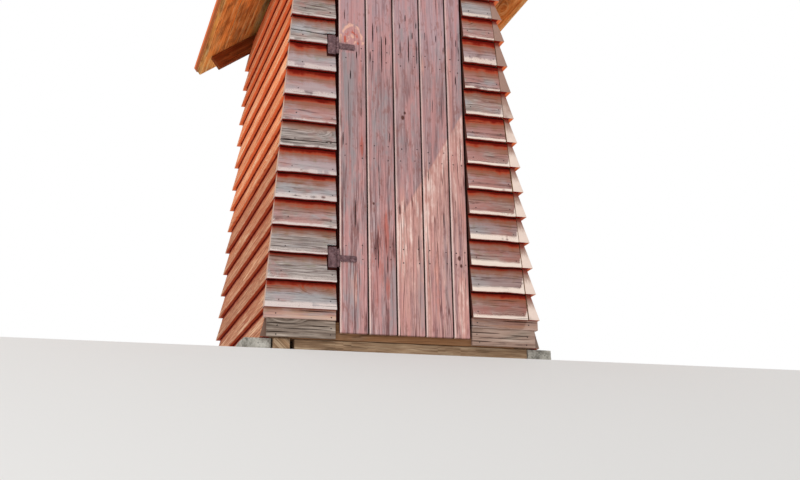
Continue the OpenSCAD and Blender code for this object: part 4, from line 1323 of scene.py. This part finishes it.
def hangHinge(level):
    low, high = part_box(level + "_hinge_plate")
    thick, sharp = hinges["knuckle"], hinges["sharp"]
    pinAt = Vector((high.x - thick, low.y + thick, (low.z + high.z) / 2))
    front = thick - hinges["leafThick"]
    half = (high.z - low.z) / 2 - hinges["inset"]
    tall = hinges["strapHigh"] / 2
    inner = tall + hinges["gap"]
    outer = inner + hinges["knuckleHigh"]
    leaf = bmesh.new()
    left, right = low.x - pinAt.x + hinges["inset"], hinges["leafInner"]
    foot = hinges["footShort"] - half
    extrude(leaf, roundedPlate(left, right, foot, half, hinges["corner"], sharp), front, thick)
    for z0, z1 in ((-outer, -inner), (inner, outer)):
        barrel(leaf, z0, z1)
        extrude(leaf, roundedPlate(right - 0.001, 0.0, z0, z1, sharp, sharp), front, thick)
    tip, lip = outer + hinges["headHigh"], hinges["headEdge"]
    shaft, head = hinges["pin"], hinges["pin"] * hinges["headWide"]
    top = head * hinges["headTop"]
    upperHalf = [(shaft, outer - 0.0002), (head, outer - 0.0003), (head, tip - lip), (top, tip)]
    lowerHalf = [(top, -tip), (head, lip - tip), (head, 0.0003 - outer), (shaft, 0.0002 - outer)]
    revolve(leaf, lowerHalf + upperHalf, segments=20)
    screws(leaf, hinges["leafScrews"], hinges["leafTurns"], front)
    ironPiece(level + "HingeLeaf", leaf, pinAt, "hut", level + "_hinge_plate")
    strap = bmesh.new()
    barrel(strap, -tall, tall, hinges["bore"])
    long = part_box(level + "_strap")[1].x - pinAt.x
    front += hinges["strapBehind"]
    extrude(strap, roundedPlate(0.0005, long, -tall, tall, sharp, hinges["strapCorner"]), front, thick)
    screws(strap, hinges["strapScrews"], hinges["strapTurns"], front)
    ironPiece(level + "DoorStrap", strap, pinAt, "door", level + "_strap")


for level in ("upper", "lower"):
    hangHinge(level)
print("hinges hung")

# Nails, set on the faces of the boards by Geometry Nodes. Rays give their places.
nailing = {
    "radius": 0.0034, "high": 0.0018, "tilt": 0.25, "sizeChange": 0.3, "wander": 0.007,
    "far": 1.4, "up": 0.036, "coverUp": 0.034, "fromDoor": 0.024, "fromEnd": 0.030, "atCorner": 0.036,
    "farEnd": 0.026, "skirtEnd": 0.05, "gable": 0.37, "backGable": 0.34, "stud": 0.012, "inLedge": 0.022,
    "postShare": 0.95, "overRoof": 0.3, "skirtUp": (0.022, 0.066), "narrowUp": (0.030,),
    "plankParts": (0.22, 0.78),
}


def nailTree(values):
    w, size = newTree("nailHeads", values)
    head = w.out("GeometryNodeMeshUVSphere", {"Segments": 9, "Rings": 6, "Radius": 1.0})
    index = Num(w, w.out("GeometryNodeInputIndex"))
    lean = [(w.chance(index * step + size.seed) - 0.5) * size.tilt for step in (1.3, 2.9, 4.7)]
    facing = w.named("facing", "FLOAT_VECTOR")
    facing = w.out("ShaderNodeVectorMath", {0: facing, 1: w.xyz(*lean)}, operation="ADD")
    turn = w.out("FunctionNodeAlignRotationToVector", {"Vector": facing}, axis="Z")
    radius = size.radius * (1 + (w.chance(index * 7.1 + size.seed) - 0.5) * size.sizeChange)
    nails = w.out("GeometryNodeInstanceOnPoints", {
        "Points": size.places, "Instance": head, "Rotation": turn, "Scale": w.xyz(radius, radius, size.high)})
    nails = w.out("GeometryNodeRealizeInstances", {"Geometry": nails})
    nails = w.out("GeometryNodeSetMaterial", {"Geometry": nails, "Material": size.iron})
    w.add("NodeGroupOutput", {0: nails})
    return w.tree


nailValues = {"places": None, **{key: nailing[key] for key in ("radius", "high", "tilt", "sizeChange")},
              "seed": 0.0, "iron": nailIron}
nailHeads = nailTree(nailValues)


def nailOn(name, boards, rays, seed, direction, slotName, body="hut"):
    # every ray that meets the boards leaves a nail where it meets them
    mesh = bpy.data.objects[boards].data
    tree = BVHTree.FromPolygons([v.co for v in mesh.vertices], [p.vertices[:] for p in mesh.polygons])
    wander = np.random.default_rng(seed).uniform(-1, 1, (len(rays), 3)) * nailing["wander"]
    hits = [tree.ray_cast(Vector(ray) + Vector(shift), Vector(direction)) for ray, shift in zip(rays, wander)]
    hits = [hit for hit in hits if hit[0] is not None]
    start = bpy.data.meshes.new(name + "Places")
    start.from_pydata([hit[0] for hit in hits], [], [])
    facing = start.attributes.new("facing", "FLOAT_VECTOR", "POINT")
    facing.data.foreach_set("vector", np.array([hit[1] for hit in hits], np.float32).ravel())
    piece(name, grow(name, nailHeads, {**nailValues, "seed": float(seed)}, start), body, slotName)


def nailEverything():
    far, up, end, corner = (nailing[key] for key in ("far", "up", "fromEnd", "atCorner"))
    gap = nailing["fromDoor"] - hut.leftGap
    doorSide, backSide = (0, 1, 0), (0, -1, 0)

    def laps(first, count):
        return [climbed(first + hut.courseHigh * i) + up for i in range(count)]

    beside = laps(hut.firstCourse, doorCourses)
    full = laps(hut.lowCourse, doorCourses + 1)
    gable = laps(hut.doorTop, gableCourses - 1)
    # rays start in front of the hut or behind it; each board's nails stand where the half width puts them
    for name, boards, slotName, seed, heights, y, places in (
        ("frontNailsLeft", "frontBoardsLeft", "front_boards", 11, beside, -far,
         lambda half: (nailing["farEnd"] - half, -gap)),
        ("frontNailsRight", "frontBoardsRight", "front_boards", 12, beside, -far,
         lambda half: (half - corner, gap)),
        ("frontGableNails", "frontGableBoards", "front_boards", 13, gable, -far,
         lambda half: (end - half, -nailing["gable"], nailing["gable"], half - end)),
        ("backNails", "backBoards", "side_boards", 14, full, far,
         lambda half: (corner - half, nailing["stud"], half - end)),
        ("backGableNails", "backGableBoards", "side_boards", 15, gable, far,
         lambda half: (-nailing["backGable"], nailing["stud"], nailing["backGable"])),
    ):
        rays = [(x, y, z) for z in heights for x in places(hut.footHalf - z * hut.lean)]
        nailOn(name, boards, rays, seed, doorSide if y < 0 else backSide, slotName)
    post = hut.frontY * nailing["postShare"]
    studs = [sum(span("side_studs", 1)) / 2, post, -post]
    for side, sign, seed in (("right", 1, 16), ("left", -1, 17)):
        rays = [(sign * far, y, z) for z in full for y in studs]
        nailOn(side + "WallNails", side + "WallBoards", rays, seed, (-sign, 0, 0), "side_boards")
        down = Vector((-sign * hut.sine, 0, -hut.cosine))
        rays = []
        for course in range(roofCover["courses"]):
            s = slopeLong - roofCover["courseHigh"] * course - nailing["coverUp"]
            above = Vector((sign * s * hut.cosine, 0, hut.ridge - s * hut.sine)) - down * nailing["overRoof"]
            rays += [(above.x, y, above.z) for y in (end - hut.roofEnd, 0.0, hut.roofEnd - end)]
        nailOn(side + "RoofNails", side + "RoofCovering", rays, seed + 4, down, "side_boards")
    for name, node, seed, heights in (("skirtBoards", "skirt_boards", 32, nailing["skirtUp"]),
                                      ("narrowBoards", "narrow_boards", 31, nailing["narrowUp"])):
        foot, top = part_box(node)
        places = (foot.x + nailing["skirtEnd"], -gap, gap, top.x - nailing["skirtEnd"])
        rays = [(x, -far, foot.z + high) for high in heights for x in places]
        nailOn(name + "Nails", name, rays, seed, doorSide, "skirt_wood")
    edges = sorted({round(v.co.z, 3) for v in cleanCopy("door_ledges").vertices})
    heights = [z for low, high in zip(edges[::2], edges[1::2])
               for z in (low + nailing["inLedge"], high - nailing["inLedge"])]
    for i in range(1, 6):
        low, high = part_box("door_plank_%d" % i)
        rays = [(low.x + (high.x - low.x) * part, -far, z) for z in heights for part in nailing["plankParts"]]
        nailOn("doorPlankNails%d" % i, "doorPlank%d" % i, rays, 40 + i, doorSide, "door_planks", "door")


nailEverything()
print("nails driven")

# Camera at the photo's viewing angle, low in front and to the left of the door
viewpoint = {
    "place": (-1.727, -5.921, -1.006), "yaw": 18.26, "pitch": 14.81, "roll": -1.08, "lens": 49.76,
    "sensor": 36.0, "shiftUp": 0.04, "clipEnd": 60.0,
}


def placeCamera():
    yaw, pitch, roll = (math.radians(viewpoint[key]) for key in ("yaw", "pitch", "roll"))
    turn = Matrix.Rotation(-yaw, 4, "Z") @ Matrix.Rotation(math.pi / 2 + pitch, 4, "X")
    camera = addObject("camera", bpy.data.cameras.new("camera"))
    camera.matrix_world = Matrix.Translation(viewpoint["place"]) @ turn @ Matrix.Rotation(roll, 4, "Z")
    camera.data.lens = viewpoint["lens"]
    camera.data.sensor_width = viewpoint["sensor"]
    camera.data.shift_y = viewpoint["shiftUp"]
    camera.data.clip_end = viewpoint["clipEnd"]
    scene.camera = camera


placeCamera()

# Floor: level under and behind the hut, falling away in front of it
groundShape = {"crest": -0.80, "fall": math.radians(24), "shoulder": 0.12, "half": 14.0, "steps": 14}


def layGround():
    paint = Paint("paleFloor", {"floor": "e8e7e5"})
    shader = paint.out("ShaderNodeBsdfDiffuse", {"Color": paint.look["floor"]})
    paint.add("ShaderNodeOutputMaterial", {0: shader})
    fall, half, radius = (groundShape[key] for key in ("fall", "half", "shoulder"))
    angles = [fall * i / groundShape["steps"] for i in range(groundShape["steps"] + 1)]
    profile = [(half, 0.0)]
    profile += [(groundShape["crest"] - radius * math.sin(a), radius * math.cos(a) - radius) for a in angles]
    profile.append((profile[-1][0] - half * math.cos(fall), profile[-1][1] - half * math.sin(fall)))
    mesh = bpy.data.meshes.new("floor")
    mesh.from_pydata([(x, y, z) for y, z in profile for x in (-half, half)], [],
                     [(2 * i, 2 * i + 1, 2 * i + 3, 2 * i + 2) for i in range(len(profile) - 1)])
    mesh.materials.append(paint.material)
    mesh.shade_smooth()
    mesh.flip_normals()
    addObject("studioFloor", mesh)


layGround()

# Studio: a plain sky that looks white, and three lamps, each with its place, power and size
studio = {"sky": 0.72, "aim": (0, 0, 1.2), "lamps": {
    "keyLight": ((-4.2, -5.0, 6.2), 130.0, 2.4),
    "fillLight": ((5.0, -4.0, 3.0), 30.0, 4.0),
    "lowLight": ((-3.6, -4.6, -0.6), 26.0, 2.4),
}}


def lightStudio():
    world = bpy.data.worlds.new("studio")
    world.use_nodes = True
    world.node_tree.nodes.clear()
    w = Wiring(world.node_tree)
    rays = w.add("ShaderNodeLightPath").outputs
    seen = w.most(rays["Is Camera Ray"], w.most(rays["Is Glossy Ray"], rays["Is Transmission Ray"]))
    soft, white = (w.out("ShaderNodeBackground", {"Color": (1, 1, 1, 1), "Strength": strength})
                   for strength in (studio["sky"], 1.0))
    both = w.out("ShaderNodeMixShader", {0: seen, 1: soft, 2: white})
    w.add("ShaderNodeOutputWorld", {0: both})
    scene.world = world
    for name, (place, power, size) in studio["lamps"].items():
        lamp = addObject(name, bpy.data.lights.new(name, "AREA"))
        lamp.data.energy = power
        lamp.data.size = size
        aim = Vector(studio["aim"]) - Vector(place)
        lamp.matrix_world = Matrix.Translation(place) @ aim.to_track_quat("-Z", "Y").to_matrix().to_4x4()


lightStudio()
print("floor, lights and camera set")
